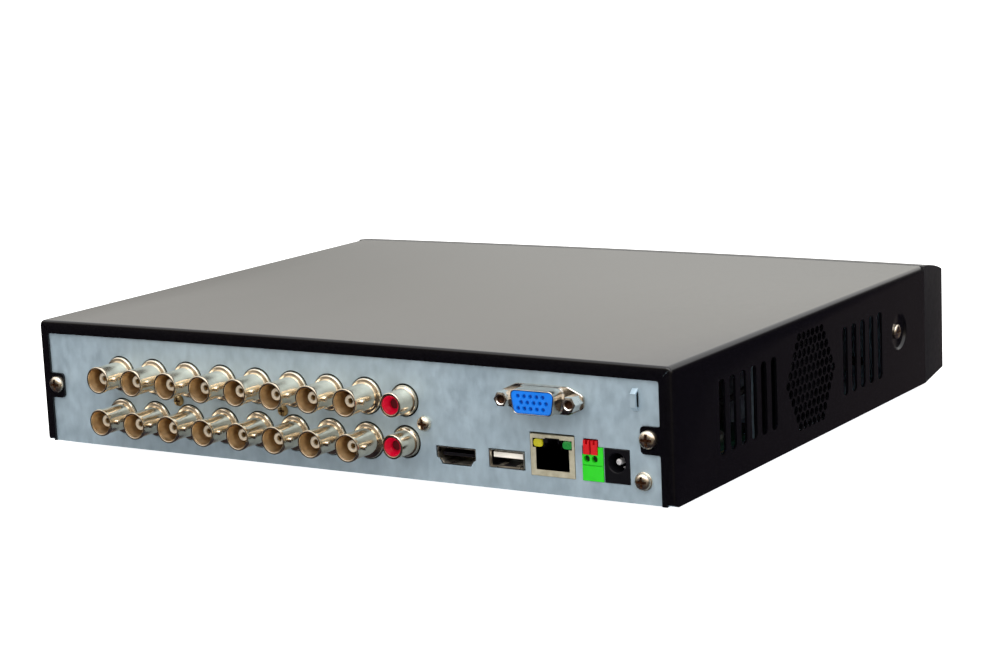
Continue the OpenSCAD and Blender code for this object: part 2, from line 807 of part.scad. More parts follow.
module rca_shells() color([0.82, 0.8, 0.76]) for (z = rca_z) difference() {
    union() {
        rod_y(rca_x, z, rca_shell_r, rca_root_y, panel_y + rca_len);
        rod_y(rca_x, z, rca_ring_r, panel_in_y, panel_y + rca_ring_t);
        at_panel(rca_x, z, panel_y + rca_ring_t)
            cylinder(r1 = rca_ring_r, r2 = rca_shell_r, h = rca_ring_slope);
    }
    rod_y(rca_x, z, rca_insert_r + running, rca_root_y - cut, panel_y + rca_len + cut);
}

module rca_inserts() color([0.85, 0.05, 0.1]) for (z = rca_z) difference() {
    rod_y(rca_x, z, rca_insert_r, rca_root_y, panel_y + rca_len - 0.2);
    rod_y(rca_x, z, rca_hole_in_r, rca_root_y + 2, panel_y + rca_len + cut);
    at_panel(rca_x, z, panel_y + rca_len - 1.7) cylinder(r1 = rca_hole_in_r, r2 = rca_funnel_r, h = 1.6);
}

module rca_block() color([0.1, 0.1, 0.1]) difference() {
    block([rca_screw_x - 4, block_back_y, board_top_z],
        [rca_screw_x - 4 + rca_block_w, panel_in_y - 0.05, block_top_z]);
    for (z = rca_z) rod_y(rca_x, z, rca_shell_r + running, rca_root_y - 0.05, panel_in_y + cut);
    rod_y(rca_screw_x, rca_screw_z, small_hole_r, panel_y - 8, panel_in_y + cut);
}

// ------------------------------------------------------------------ data jacks

module vga_flange_outline() polygon([
    [-15.4, -2.2], [-9.6, -4.6], [9.6, -4.6], [15.4, -2.2],
    [15.4, 2.2], [9.6, 4.6], [-9.6, 4.6], [-15.4, 2.2]
]);

module vga_shell() color([0.82, 0.8, 0.76]) difference() {
    union() {
        along_y(panel_y, panel_y + vga_flange_t) translate([vga_x, vga_z]) vga_flange_outline();
        along_y(panel_y, panel_y + vga_flange_t + 0.5) translate([vga_x, vga_z])
            polygon(d_outline(vga_shell_size + [1, 1, 1], 2.6));
        along_y(panel_in_y - 2, panel_y + vga_len) translate([vga_x, vga_z])
            polygon(d_outline(vga_shell_size, 2.2));
    }
    along_y(panel_in_y - 3, panel_y + vga_len + cut) translate([vga_x, vga_z])
        polygon(d_outline(vga_insert_size + [gap, gap, gap], 1.8));
    for (s = [-1, 1])
        rod_y(vga_x + s * vga_screw_dx, vga_z, vga_hole_r, panel_y - cut, panel_y + 2);
}

module vga_insert() color([0.05, 0.32, 0.85]) difference() {
    union() {
        along_y(panel_in_y - 2.2, panel_y + vga_len - 0.1) translate([vga_x, vga_z])
            polygon(d_outline(vga_insert_size, 1.8));
        along_y(panel_in_y - vga_depth, panel_in_y - 2.1) translate([vga_x - 15.4, vga_z - 6])
            square([30.8, 12]);
    }
    for (row = [-1 : 1], i = [-2 : 2])
        rod_y(
            vga_x + (i + (row == 0 ? -0.25 : 0.25)) * vga_pin_pitch,
            vga_z + row * vga_row_pitch,
            0.5, panel_y, panel_y + vga_len + cut
        );
    for (s = [-1, 1])
        rod_y(vga_x + s * vga_screw_dx, vga_z, vga_hole_r, panel_in_y - 9, panel_in_y);
}

module vga_jackscrews() color([0.8, 0.76, 0.68]) for (s = [-1, 1]) difference() {
    union() {
        at_panel(vga_x + s * vga_screw_dx, vga_z, panel_y + vga_flange_t)
            cylinder(r = vga_jack_r, h = vga_jack_out - vga_flange_t, $fn = 6);
        rod_y(vga_x + s * vga_screw_dx, vga_z, vga_hole_r - gap,
            panel_in_y - 8, panel_y + vga_flange_t + 0.1);
    }
    rod_y(vga_x + s * vga_screw_dx, vga_z, vga_thread_r, panel_y + 1.4, panel_y + vga_jack_out + cut);
}

module vga_riser() color([0.08, 0.35, 0.2])
    block([vga_x - 16, panel_in_y - vga_depth - 1.7, board_top_z],
        [vga_x + 16, panel_in_y - vga_depth - 0.1, vga_z + 8]);

// receptacle outline, wide side up, with slanted lower corners, grown by margin
function hdmi_outline(margin) = let (w = hdmi_w / 2 + margin, h = hdmi_h / 2 + margin) [
    [-w, h], [-w, -0.8], [-w + 1.1, -1.4], [-w + 2.1, -h],
    [w - 2.1, -h], [w - 1.1, -1.4], [w, -0.8], [w, h]
];

module hdmi_shell() color([0.6, 0.58, 0.54]) difference() {
    along_y(panel_in_y - hdmi_depth, panel_y - 0.4) translate([hdmi_x, hdmi_z]) polygon(hdmi_outline(0));
    along_y(panel_in_y - hdmi_depth + 0.4, panel_y + cut) translate([hdmi_x, hdmi_z])
        polygon(hdmi_outline(-0.35));
}

module hdmi_tongue() color([0.08, 0.08, 0.08]) {
    block([hdmi_x - 6, panel_in_y - hdmi_depth + 3, hdmi_z - 0.3],
        [hdmi_x + 6, panel_y - 1.6, hdmi_z + 0.7]);
    block([hdmi_x - 6.6, panel_in_y - hdmi_depth + 0.45, hdmi_z - 0.8],
        [hdmi_x + 6.6, panel_in_y - hdmi_depth + 3.1, hdmi_z + 2.2]);
}

module usb_shell() color([0.75, 0.73, 0.68]) difference() {
    block([usb_x - usb_w / 2, panel_in_y - usb_depth, usb_z - usb_h / 2],
        [usb_x + usb_w / 2, panel_y + 0.2, usb_z + usb_h / 2]);
    block([usb_x - usb_w / 2 + 0.35, panel_in_y - usb_depth + 0.4, usb_z - usb_h / 2 + 0.35],
        [usb_x + usb_w / 2 - 0.35, panel_y + cut, usb_z + usb_h / 2 - 0.35]);
}

module usb_tongue() color([0.93, 0.93, 0.9]) {
    block([usb_x - 5.6, panel_in_y - usb_depth + 3, usb_z + 0.2], [usb_x + 5.6, panel_y - 1, usb_z + 2]);
    block([usb_x - 6.2, panel_in_y - usb_depth + 0.45, usb_z - 2.5],
        [usb_x + 6.2, panel_in_y - usb_depth + 3.1, usb_z + 2.5]);
}

module lan_shield() color([0.78, 0.74, 0.66]) difference() {
    block([lan_x - lan_w / 2, panel_in_y - lan_depth, lan_z - lan_h / 2],
        [lan_x + lan_w / 2, lan_face_y, lan_z + lan_h / 2]);
    block([lan_x - lan_w / 2 + 0.3, panel_in_y - lan_depth - cut, lan_z - lan_h / 2 + 0.3],
        [lan_x + lan_w / 2 - 0.3, lan_face_y - 0.3, lan_z + lan_h / 2 - 0.3]);
    along_y(lan_face_y - cut, lan_face_y + cut) translate([lan_x, lan_cavity_z]) {
        translate([-lan_cavity_w / 2, 0]) square([lan_cavity_w, 9.4]);
        translate([-2.7, 0]) square([5.4, 10.6]);
        translate([-lan_lamp_x - lan_lamp_w / 2 - gap, lan_cavity_h])
            square([2 * lan_lamp_x + lan_lamp_w + 2 * gap, lan_lamp_h + 3 * gap]);
    }
}

module lan_body() color([0.07, 0.07, 0.07]) difference() {
    block([lan_x - lan_w / 2 + 0.35, panel_in_y - lan_depth + 0.1, lan_z - lan_h / 2 + 0.35],
        [lan_x + lan_w / 2 - 0.35, lan_face_y - 0.35, lan_z + lan_h / 2 - 0.35]);
    along_y(panel_in_y - 13, lan_face_y) translate([lan_x, lan_cavity_z]) {
        translate([-lan_cavity_w / 2, 0]) square([lan_cavity_w, lan_cavity_h]);
        translate([-3, 0]) square([6, lan_cavity_h + 1.6]);
        translate([-1.9, 0]) square([3.8, 10.2]);
    }
    for (s = [-1, 1]) lan_lamp_box(s, gap);
}

// box of one network lamp, grown by margin
module lan_lamp_box(side, margin) {
    x = lan_x + side * lan_lamp_x;
    w = lan_lamp_w / 2 + margin;
    low_z = lan_cavity_z + lan_cavity_h + 2 * gap;
    block([x - w, lan_face_y - 6.5 - margin, low_z - margin],
        [x + w, lan_face_y - gap + margin, low_z + lan_lamp_h + margin]);
}

module lan_lamps() for (s = [-1, 1]) color(s > 0 ? [0.85, 0.8, 0.1] : [0.1, 0.6, 0.2])
    lan_lamp_box(s, 0);

// eight sprung wires, sloping down to the socket's floor
module lan_contacts() color([0.9, 0.75, 0.35]) for (i = [0 : 7])
    translate([lan_x + (i - 3.5) * 1.02, panel_in_y, lan_cavity_z]) along_x(-0.22, 0.22)
        polygon([[-12.9, 2], [-12.9, 2.4], [-3, 0.7], [-2, 0.7], [-2, 0.1], [-3, 0.1]]);

module terminal_body() color([0.15, 0.8, 0.1]) {
    low_x = terminal_x - terminal_w / 2;
    high_x = terminal_x + terminal_w / 2;
    difference() {
        union() {
            block([low_x, terminal_back_y, terminal_low_z], [high_x, terminal_face_y, terminal_ledge_z]);
            block([low_x, terminal_back_y, terminal_ledge_z - 0.1],
                [low_x + 1.8, terminal_face_y, terminal_top_z]);
            block([low_x, terminal_back_y, terminal_ledge_z - 0.1],
                [high_x, button_wall_y, terminal_ledge_z + button_h + 0.8]);
        }
        for (x = button_x) {
            rod_y(x, terminal_ledge_z + button_stem_dz, button_stem_r + running,
                terminal_back_y - cut, button_wall_y + cut);
            rod_y(x, wire_hole_z, wire_hole_r, button_wall_y, terminal_face_y + cut);
        }
        block([low_x - cut, terminal_face_y - 0.3, groove_low_z],
            [high_x + cut, terminal_face_y + cut, groove_high_z]);
    }
}

// release button: it slides in over the ledge on its stem
module terminal_button(i) color([0.85, 0.08, 0.05]) {
    x = button_x[i];
    z = terminal_ledge_z + 0.08;
    difference() {
        block([x - button_w / 2, button_back_y, z], [x + button_w / 2, panel_y + 0.6, z + button_h]);
        block([x - 0.35, panel_y - 1.4, z + button_h - 1.4], [x + 0.35, panel_y + cut, z + button_h + cut]);
    }
    rod_y(x, terminal_ledge_z + button_stem_dz, button_stem_r, button_wall_y - 0.5, button_back_y + 0.1);
}

module dc_jack_body() color([0.06, 0.06, 0.07]) difference() {
    block([dc_x - dc_w / 2, panel_in_y - 13, dc_low_z], [dc_x + dc_w / 2, panel_y + 0.3, dc_high_z]);
    rod_y(dc_x, dc_z, dc_bore_r, panel_in_y - 9, panel_y + 1);
    rod_y(dc_x, dc_z, dc_root_r + running, panel_in_y - 12, panel_in_y - 8);
}

module dc_jack_pin() color([0.85, 0.84, 0.8]) {
    rod_y(dc_x, dc_z, dc_root_r, panel_in_y - 11.9, panel_in_y - 8.9);
    rod_y(dc_x, dc_z, dc_pin_r, panel_in_y - 8.95, panel_y - 1);
}

// ------------------------------------------------------------------ main board

module main_board() color([0.05, 0.33, 0.2]) difference() {
    block([board_left_x, board_front_y, board_low_z], [board_right_x, board_back_y, board_top_z]);
    block([board_left_x - cut, board_front_y - cut, board_low_z - cut],
        [board_left_x + 5, board_front_y + 15, board_top_z + cut]);
    for (p = board_holes) rod_z(p[0], p[1], m3_hole_r, board_low_z - cut, board_top_z + cut);
}

// chips, upright capacitors, and the three lead headers
module board_parts() color([0.16, 0.16, 0.17]) {
    for (c = chips)
        block([c[0] - c[2] / 2, c[1] - c[2] / 2, board_top_z],
            [c[0] + c[2] / 2, c[1] + c[2] / 2, board_top_z + c[3]]);
    for (c = capacitors) rod_z(c[0], c[1], capacitor_r, board_top_z, board_top_z + capacitor_h);
    for (h = headers)
        block([h[0] - h[2] / 2, h[1] - h[3] / 2, board_top_z],
            [h[0] + h[2] / 2, h[1] + h[3] / 2, board_top_z + header_h]);
}

module heat_sink() color([0.25, 0.25, 0.27]) {
    z0 = board_top_z + soc_h;
    x0 = sink_x - sink_size / 2;
    y0 = sink_y - sink_size / 2;
    block([x0, y0, z0], [x0 + sink_size, y0 + sink_size, z0 + 2.5]);
    for (i = [0 : sink_fins - 1])
        block([x0 + i * sink_pitch, y0, z0 + 2.4],
            [x0 + i * sink_pitch + sink_fin_t, y0 + sink_size, z0 + sink_h]);
}

module coin_cell() color([0.8, 0.8, 0.8]) {
    rod_z(cell_x, cell_y, cell_r, board_top_z + 1.2, board_top_z + 4.4);
    rod_z(cell_x, cell_y, cell_r - 4, board_top_z, board_top_z + 1.3);
}

// ------------------------------------------------------------------ fan

module fan_frame() color([0.1, 0.1, 0.1]) difference() {
    union() {
        difference() {
            block([fan_out_x, grille_y - fan_size / 2, grille_z - fan_size / 2],
                [fan_in_x, grille_y + fan_size / 2, grille_z + fan_size / 2]);
            rod_x(grille_y, grille_z, fan_bore_r, fan_out_x - cut, fan_in_x + cut);
        }
        rod_x(grille_y, grille_z, 9, fan_in_x - 1.4, fan_in_x);
        rod_x(grille_y, grille_z, 3, fan_in_x - 7, fan_in_x);
        for (a = [45 : 90 : 315]) translate([fan_in_x - 1.4, grille_y, grille_z]) rotate([a, 0, 0])
            translate([0, -1, 0]) cube([1.4, 2, fan_bore_r + 0.5]);
    }
    rod_x(grille_y, grille_z, fan_shaft_r + running, fan_in_x - 8, fan_in_x - 1);
    fan_hole_places() rod_x(0, 0, m3_hole_r, fan_out_x - cut, fan_in_x + cut);
}

// hub cup with its shaft, and tilted blades
module fan_rotor() color([0.16, 0.16, 0.17]) {
    difference() {
        rod_x(grille_y, grille_z, fan_hub_r, fan_out_x + 0.6, fan_in_x - 2);
        rod_x(grille_y, grille_z, fan_hub_r - 1.4, fan_out_x + 2, fan_in_x);
    }
    rod_x(grille_y, grille_z, fan_shaft_r, fan_out_x + 1, fan_in_x - 1.2);
    intersection() {
        difference() {
            rod_x(grille_y, grille_z, fan_bore_r - 0.7, fan_out_x + 0.6, fan_in_x - 2);
            rod_x(grille_y, grille_z, fan_hub_r - 0.6, fan_out_x, fan_in_x);
        }
        for (i = [0 : fan_blades - 1])
            translate([(fan_out_x + fan_in_x) / 2 - 0.7, grille_y, grille_z])
                rotate([i * 360 / fan_blades, 0, 0]) rotate([0, 0, 42])
                    translate([-7, -0.6, 9]) cube([14, 1.2, 12]);
    }
}

// ------------------------------------------------------------------ hard disk

module drive_pocket() {
    rod_z(spindle_x, spindle_y, platter_r + 1.2, pocket_low_z, drive_top_z + cut);
    block([-28, drive_y + 5, pocket_low_z], [41, drive_y + drive_w - 5, drive_top_z + cut]);
}

module drive_casting() color([0.66, 0.67, 0.68]) {
    difference() {
        block([drive_x, drive_y, drive_z], [drive_x + drive_l, drive_y + drive_w, drive_top_z - lid_t]);
        drive_pocket();
        block([drive_x + 2, drive_y + 2, drive_z - cut],
            [drive_x + drive_l + cut, drive_y + drive_w - 2, drive_z + 3]);
        for (x = drive_hole_x, s = [-1, 1])
            rod_z(drive_x + x, spindle_y + s * drive_hole_dy / 2, 1.75, drive_z - cut, drive_z + 8);
    }
    for (x = drive_hole_x, s = [-1, 1]) difference() {
        rod_z(drive_x + x, spindle_y + s * drive_hole_dy / 2, 3.2, drive_z, drive_z + 3.5);
        rod_z(drive_x + x, spindle_y + s * drive_hole_dy / 2, 1.75, drive_z - cut, drive_z + 8);
    }
    rod_z(spindle_x, spindle_y, spindle_pin_r, pocket_low_z - 1, drive_top_z - lid_t - 1);
    rod_z(pivot_x, pivot_y, pivot_pin_r, pocket_low_z - 1, drive_top_z - lid_t - 1);
}

module drive_lid() color([0.75, 0.76, 0.77]) difference() {
    translate([drive_x + 1, drive_y + 1, drive_top_z - lid_t]) linear_extrude(lid_t)
        rounded_square([drive_l - 2, drive_w - 2], 4);
    rod_z(spindle_x, spindle_y, 30, drive_top_z - 0.4, drive_top_z + cut);
}

module drive_spindle() color([0.85, 0.86, 0.88]) difference() {
    union() {
        rod_z(spindle_x, spindle_y, 12.5, pocket_low_z + 0.6, drive_top_z - lid_t - 1.6);
        for (z = platter_z) rod_z(spindle_x, spindle_y, platter_r, z, z + platter_t);
    }
    rod_z(spindle_x, spindle_y, spindle_pin_r + running, pocket_low_z, drive_top_z);
}

// arm: bearing barrel, one tapered blade over each platter face pair, and the coil's tail
module drive_arm() color([0.7, 0.7, 0.72])
translate([pivot_x, pivot_y, 0]) rotate(arm_rest_a) difference() {
    union() {
        rod_z(0, 0, arm_barrel_r, pocket_low_z + 0.6, drive_top_z - lid_t - 1.6);
        for (z = [platter_z[0] - 1.5, platter_z[0] + platter_t + 1.2, platter_z[1] + platter_t + 0.7])
            translate([0, 0, z]) linear_extrude(0.8)
                polygon([[0, -6], [20, -4], [arm_len, -1.6], [arm_len, 1.6], [20, 4], [0, 6]]);
        translate([0, 0, tail_z]) linear_extrude(2)
            polygon(concat(arc_points([0, 0], 21, 160, 200, 10), [[-4, -4], [-4, 4]]));
    }
    translate([0, 0, pocket_low_z]) cylinder(r = pivot_pin_r + running, h = drive_h);
}

// two magnet plates, above and below the coil
module drive_magnets() color([0.5, 0.5, 0.53]) for (z = [tail_z - 3.2, tail_z + 2.8])
    translate([pivot_x, pivot_y, z]) linear_extrude(2.4) polygon(concat(
        arc_points([0, 0], 23, tail_a - 14, tail_a + arm_swing + 14, 10),
        arc_points([0, 0], 10, tail_a + arm_swing + 14, tail_a - 14, 10)
    ));

module drive_board() color([0.08, 0.3, 0.2]) {
    block([drive_x + 4, drive_y + 12, drive_z + 0.6],
        [drive_x + drive_l - 2, drive_y + drive_w - 12, drive_z + 1.8]);
    block([drive_x + drive_l - 6, -66, drive_z + 1.7], [drive_x + drive_l + 4, -20, drive_z + 2.9]);
    block([drive_x + drive_l + 0.1, -66, drive_z + 0.6], [drive_x + drive_l + 4, -20, drive_z + 9.5]);
}

module inner_leads() {
    color([0.75, 0.1, 0.1]) lead(data_lead, 3.8, 0.9, [0, 1, 0]);
    color([0.85, 0.7, 0.1]) lead(power_lead, 3.2, 1.4, [0, 1, 0]);
    color([0.1, 0.1, 0.1]) lead(fan_lead, 1.1, 1.1, [0, 1, 0]);
}

// ------------------------------------------------------------------ nodes

top_cover();
base_chassis();
front_bezel();
indicator_lens();
remote_window();
for (i = [0 : 3])
    foot(foot_x[i % 2], foot_y[floor(i / 2)]);
cover_screws();
ground_screw();
jack_block_screws();
board_standoffs();
board_screws();
drive_screws();
fan_screws();
for (i = [0 : bnc_columns - 1])
    bnc_shells(i);
bnc_insulators();
bnc_contacts();
bnc_block();
rca_shells();
rca_inserts();
rca_block();
vga_shell();
vga_insert();
vga_jackscrews();
vga_riser();
hdmi_shell();
hdmi_tongue();
usb_shell();
usb_tongue();
lan_shield();
lan_body();
lan_lamps();
lan_contacts();
terminal_body();
for (i = [0 : 1])
    terminal_button(i);
dc_jack_body();
dc_jack_pin();
main_board();
board_parts();
heat_sink();
coin_cell();
fan_frame();
fan_rotor();
drive_casting();
drive_lid();
drive_spindle();
drive_arm();
drive_magnets();
drive_board();
inner_leads();
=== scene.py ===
import json
import math

import bmesh
import bpy
from mathutils import Matrix, Vector


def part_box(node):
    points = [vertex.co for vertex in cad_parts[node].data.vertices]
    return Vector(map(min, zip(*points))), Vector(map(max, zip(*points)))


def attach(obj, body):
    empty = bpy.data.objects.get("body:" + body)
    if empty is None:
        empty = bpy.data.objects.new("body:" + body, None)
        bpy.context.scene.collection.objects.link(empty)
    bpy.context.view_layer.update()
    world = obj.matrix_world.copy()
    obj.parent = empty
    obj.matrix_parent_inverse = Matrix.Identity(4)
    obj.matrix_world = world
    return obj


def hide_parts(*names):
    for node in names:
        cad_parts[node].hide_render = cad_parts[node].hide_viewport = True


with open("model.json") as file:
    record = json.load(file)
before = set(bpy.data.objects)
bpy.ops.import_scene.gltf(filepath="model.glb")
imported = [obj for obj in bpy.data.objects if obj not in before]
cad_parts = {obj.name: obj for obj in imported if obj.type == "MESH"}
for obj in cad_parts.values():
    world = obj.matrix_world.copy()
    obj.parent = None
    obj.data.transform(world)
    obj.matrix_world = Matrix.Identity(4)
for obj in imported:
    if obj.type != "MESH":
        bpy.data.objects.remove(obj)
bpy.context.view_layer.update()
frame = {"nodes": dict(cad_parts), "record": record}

MM = 0.001
CASING = "casing"
SHEET = 0.8 * MM            # thickness of the cover's and the chassis's steel
SHARP = 35                  # degrees between faces from which an edge is shaded sharp
scene = bpy.context.scene
mounts = {m["name"]: Vector(m["pos_m"]) for m in frame["record"]["mounts"]}

# planes and places that many pieces share
cover_low, cover_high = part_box("top_cover")
rear_y = cover_high.y
panel_y = rear_y - SHEET
bnc_places = [mounts[n] for n in mounts if n.startswith("video_in_")]
rca_places = [mounts[n] for n in mounts if n.startswith("audio_jack_")]
vga = mounts["vga_port"]
hdmi = mounts["hdmi_port"]
usb = mounts["usb_port"]
lan = mounts["network_port"]
power = mounts["power_in"]


# ---------------------------------------------------------------- camera, floor, light

CAMERA_PLACE = (-0.47269, 0.73761, 0.19307)
CAMERA_TURN = (147.4378, 10.4397, -2.5984)  # compass heading from +Y, dip below level, roll, in degrees
CAMERA_LENS = 86.528        # millimetres, on a 36 mm wide sensor


def add_camera():
    """Looks at the rear panel, the top and the -X side from a little above."""
    heading, dip, roll = (math.radians(a) for a in CAMERA_TURN)
    forward = Vector((
        math.sin(heading) * math.cos(dip),
        math.cos(heading) * math.cos(dip),
        -math.sin(dip)))
    level = forward.cross(Vector((0, 0, 1))).normalized()
    upright = level.cross(forward)
    right = level * math.cos(roll) + upright * math.sin(roll)
    up = upright * math.cos(roll) - level * math.sin(roll)
    data = bpy.data.cameras.new("camera")
    data.sensor_width = 36
    data.lens = CAMERA_LENS
    data.clip_end = 200
    camera = bpy.data.objects.new("camera", data)
    scene.collection.objects.link(camera)
    matrix = Matrix((right, up, -forward)).transposed().to_4x4()
    matrix.translation = Vector(CAMERA_PLACE)
    camera.matrix_world = matrix
    scene.camera = camera


def add_floor():
    """White floor that glows a little, so shadows stay pale, but not underneath the recorder."""
    size = 30
    corners = [(-size, -size, 0), (size, -size, 0), (size, size, 0), (-size, size, 0)]
    mesh = bpy.data.meshes.new("floor")
    mesh.from_pydata(corners, [], [(0, 1, 2, 3)])
    floor = bpy.data.objects.new("floor", mesh)
    scene.collection.objects.link(floor)
    mat, tree, shader = new_material("floor_white", (0.6, 0.6, 0.6), 0, 0.9)
    paint = blend_colours(tree, noise(tree, 3), (0.58, 0.58, 0.58), (0.62, 0.62, 0.62))
    tree.links.new(paint, shader.inputs["Base Color"])
    coords = tree.nodes.new("ShaderNodeTexCoord")
    split = tree.nodes.new("ShaderNodeSeparateXYZ")
    tree.links.new(coords.outputs["Object"], split.inputs[0])
    past_side = math_node(tree, "SUBTRACT", math_node(tree, "ABSOLUTE", split.outputs["X"]), cover_high.x)
    past_end = math_node(tree, "SUBTRACT", math_node(tree, "ABSOLUTE", split.outputs["Y"]), rear_y)
    outside = math_node(tree, "MAXIMUM", past_side, past_end)
    glow = spread(tree, outside, 0, 0.92, -36 * MM, -18 * MM)   # fades out under the casing
    shader.inputs["Emission Color"].default_value = (1, 1, 1, 1)
    tree.links.new(glow, shader.inputs["Emission Strength"])
    mesh.materials.append(mat)
    floor.visible_glossy = False


def add_area_light(name, place, target, size, power_w, colour):
    """Rectangular light at a place, aimed at a target."""
    data = bpy.data.lights.new(name, "AREA")
    data.shape = "RECTANGLE"
    data.size, data.size_y = size
    data.energy = power_w
    data.color = colour
    light = bpy.data.objects.new(name, data)
    light.location = place
    light.rotation_euler = (Vector(target) - Vector(place)).to_track_quat("-Z", "Y").to_euler()
    scene.collection.objects.link(light)


def ramp_of(tree, value, low, high, stops):
    """Colour ramp over a value, with stops as (value, colour) between low and high."""
    part = tree.nodes.new("ShaderNodeMapRange")
    part.inputs["From Min"].default_value = low
    part.inputs["From Max"].default_value = high
    ramp = tree.nodes.new("ShaderNodeValToRGB")
    ramp.color_ramp.interpolation = "EASE"
    elements = ramp.color_ramp.elements
    for i, (place, colour) in enumerate(stops):
        at = (place - low) / (high - low)
        element = elements[i] if i < 2 else elements.new(at)
        element.position = at
        element.color = (*colour, 1)
    tree.links.new(value, part.inputs["Value"])
    tree.links.new(part.outputs[0], ramp.inputs[0])
    return ramp.outputs[0]


def mix_by(tree, value, low, high):
    """Mixes two colour sockets by a value socket."""
    node = tree.nodes.new("ShaderNodeMix")
    node.data_type = "RGBA"
    tree.links.new(value, node.inputs["Factor"])
    tree.links.new(low, node.inputs["A"])
    tree.links.new(high, node.inputs["B"])
    return node.outputs["Result"]


# Studio colours by direction. AWAY is the way the camera looks, on the level: 1 is straight ahead,
# -1 is straight behind it. Heights are sines of the angle above the horizon.
AWAY = (0.42, -0.907, 0)
WALL = [
    (-0.75, (0.28, 0.25, 0.21)), (-0.3, (0.38, 0.34, 0.30)), (0.3, (0.04, 0.035, 0.042)),
    (0.66, (0.05, 0.045, 0.048)), (0.82, (0.50, 0.485, 0.47)), (0.94, (0.58, 0.565, 0.54)),
    (1, (0.97, 0.96, 0.93))]
WALL_GAIN = [(0.1, (0.82, 0.82, 0.80)), (0.5, (3.45, 3.45, 3.37))]      # by height
SKY = [(0.3, (1.3, 1.3, 1.3)), (1, (1.35, 1.35, 1.36))]                 # by height
GROUND = [
    (-0.95, (0.12, 0.10, 0.08)), (-0.62, (0.008, 0.007, 0.011)), (-0.3, (0.035, 0.028, 0.032)),
    (0.1, (0.03, 0.025, 0.033)), (0.58, (0.015, 0.013, 0.022)), (0.72, (0.12, 0.10, 0.10)),
    (1, (0.12, 0.10, 0.09))]
HORIZON = [(-0.03, (0, 0, 0)), (0.03, (1, 1, 1))]                       # ground to wall
WALL_TOP = [(0.32, (0, 0, 0)), (0.5, (1, 1, 1))]                        # wall to sky


def add_world():
    """A studio: bright wall beyond the front, dark ground, a paler room behind the camera."""
    world = bpy.data.worlds.new("studio")
    scene.world = world
    world.use_nodes = True
    tree = world.node_tree
    tree.nodes.clear()
    out = tree.nodes.new("ShaderNodeOutputWorld")
    background = tree.nodes.new("ShaderNodeBackground")
    coords = tree.nodes.new("ShaderNodeTexCoord")
    split = tree.nodes.new("ShaderNodeSeparateXYZ")
    away = tree.nodes.new("ShaderNodeVectorMath")
    away.operation = "DOT_PRODUCT"
    away.inputs[1].default_value = AWAY
    tree.links.new(coords.outputs["Generated"], split.inputs[0])
    tree.links.new(coords.outputs["Generated"], away.inputs[0])
    height = split.outputs["Z"]
    around = away.outputs["Value"]
    wall = ramp_of(tree, around, -1, 1, WALL)
    gain = ramp_of(tree, height, 0, 1, WALL_GAIN)
    sky = ramp_of(tree, height, 0, 1, SKY)
    ground = ramp_of(tree, around, -1, 1, GROUND)
    above_ground = ramp_of(tree, height, -1, 1, HORIZON)
    above_wall = ramp_of(tree, height, -1, 1, WALL_TOP)
    lit_wall = tree.nodes.new("ShaderNodeVectorMath")
    lit_wall.operation = "MULTIPLY"
    tree.links.new(wall, lit_wall.inputs[0])
    tree.links.new(gain, lit_wall.inputs[1])
    room = mix_by(tree, above_ground, ground, lit_wall.outputs[0])
    tree.links.new(mix_by(tree, above_wall, room, sky), background.inputs["Color"])
    tree.links.new(background.outputs[0], out.inputs["Surface"])


def add_lights():
    """The studio and one soft light over and behind the camera."""
    add_world()
    add_area_light("overhead", (-0.3, 0.9, 1.5), (0, 0, 0), (1.8, 1.4), 14, (1, 0.99, 0.97))
    scene.view_settings.view_transform = "Standard"


# ---------------------------------------------------------------- materials

def new_material(name, colour, metallic, roughness, **sockets):
    """Principled material. Other sockets are given by name, with _ for each space."""
    mat = bpy.data.materials.new(name)
    mat.use_nodes = True
    shader = mat.node_tree.nodes["Principled BSDF"]
    shader.inputs["Base Color"].default_value = (*colour, 1)
    shader.inputs["Metallic"].default_value = metallic
    shader.inputs["Roughness"].default_value = roughness
    for socket, value in sockets.items():
        shader.inputs[socket.replace("_", " ")].default_value = value
    return mat, mat.node_tree, shader


def math_node(tree, operation, first, second=None):
    """Math over sockets or plain numbers."""
    node = tree.nodes.new("ShaderNodeMath")
    node.operation = operation
    for socket, value in zip(node.inputs, (first, second)):
        if isinstance(value, bpy.types.NodeSocket):
            tree.links.new(value, socket)
        elif value is not None:
            socket.default_value = value
    return node.outputs[0]


def noise(tree, scale, stretch=(1, 1, 1), detail=3):
    """Noise over object coordinates, with scale times stretch cells a metre along each axis."""
    coords = tree.nodes.new("ShaderNodeTexCoord")
    mapping = tree.nodes.new("ShaderNodeMapping")
    mapping.inputs["Scale"].default_value = stretch
    texture = tree.nodes.new("ShaderNodeTexNoise")
    texture.inputs["Scale"].default_value = scale
    texture.inputs["Detail"].default_value = detail
    tree.links.new(coords.outputs["Object"], mapping.inputs["Vector"])
    tree.links.new(mapping.outputs[0], texture.inputs["Vector"])
    return texture.outputs["Fac"]


def spread(tree, value, low, high, from_low=0.3, from_high=0.7):
    """Maps a value to the range low to high. The usual noise value lies between 0.3 and 0.7."""
    node = tree.nodes.new("ShaderNodeMapRange")
    node.inputs["From Min"].default_value = from_low
    node.inputs["From Max"].default_value = from_high
    node.inputs["To Min"].default_value = low
    node.inputs["To Max"].default_value = high
    tree.links.new(value, node.inputs["Value"])
    return node.outputs[0]


def blend_colours(tree, value, low, high):
    """Mixes two plain colours by a value socket."""
    node = tree.nodes.new("ShaderNodeMix")
    node.data_type = "RGBA"
    node.inputs["A"].default_value = (*low, 1)
    node.inputs["B"].default_value = (*high, 1)
    tree.links.new(value, node.inputs["Factor"])
    return node.outputs["Result"]


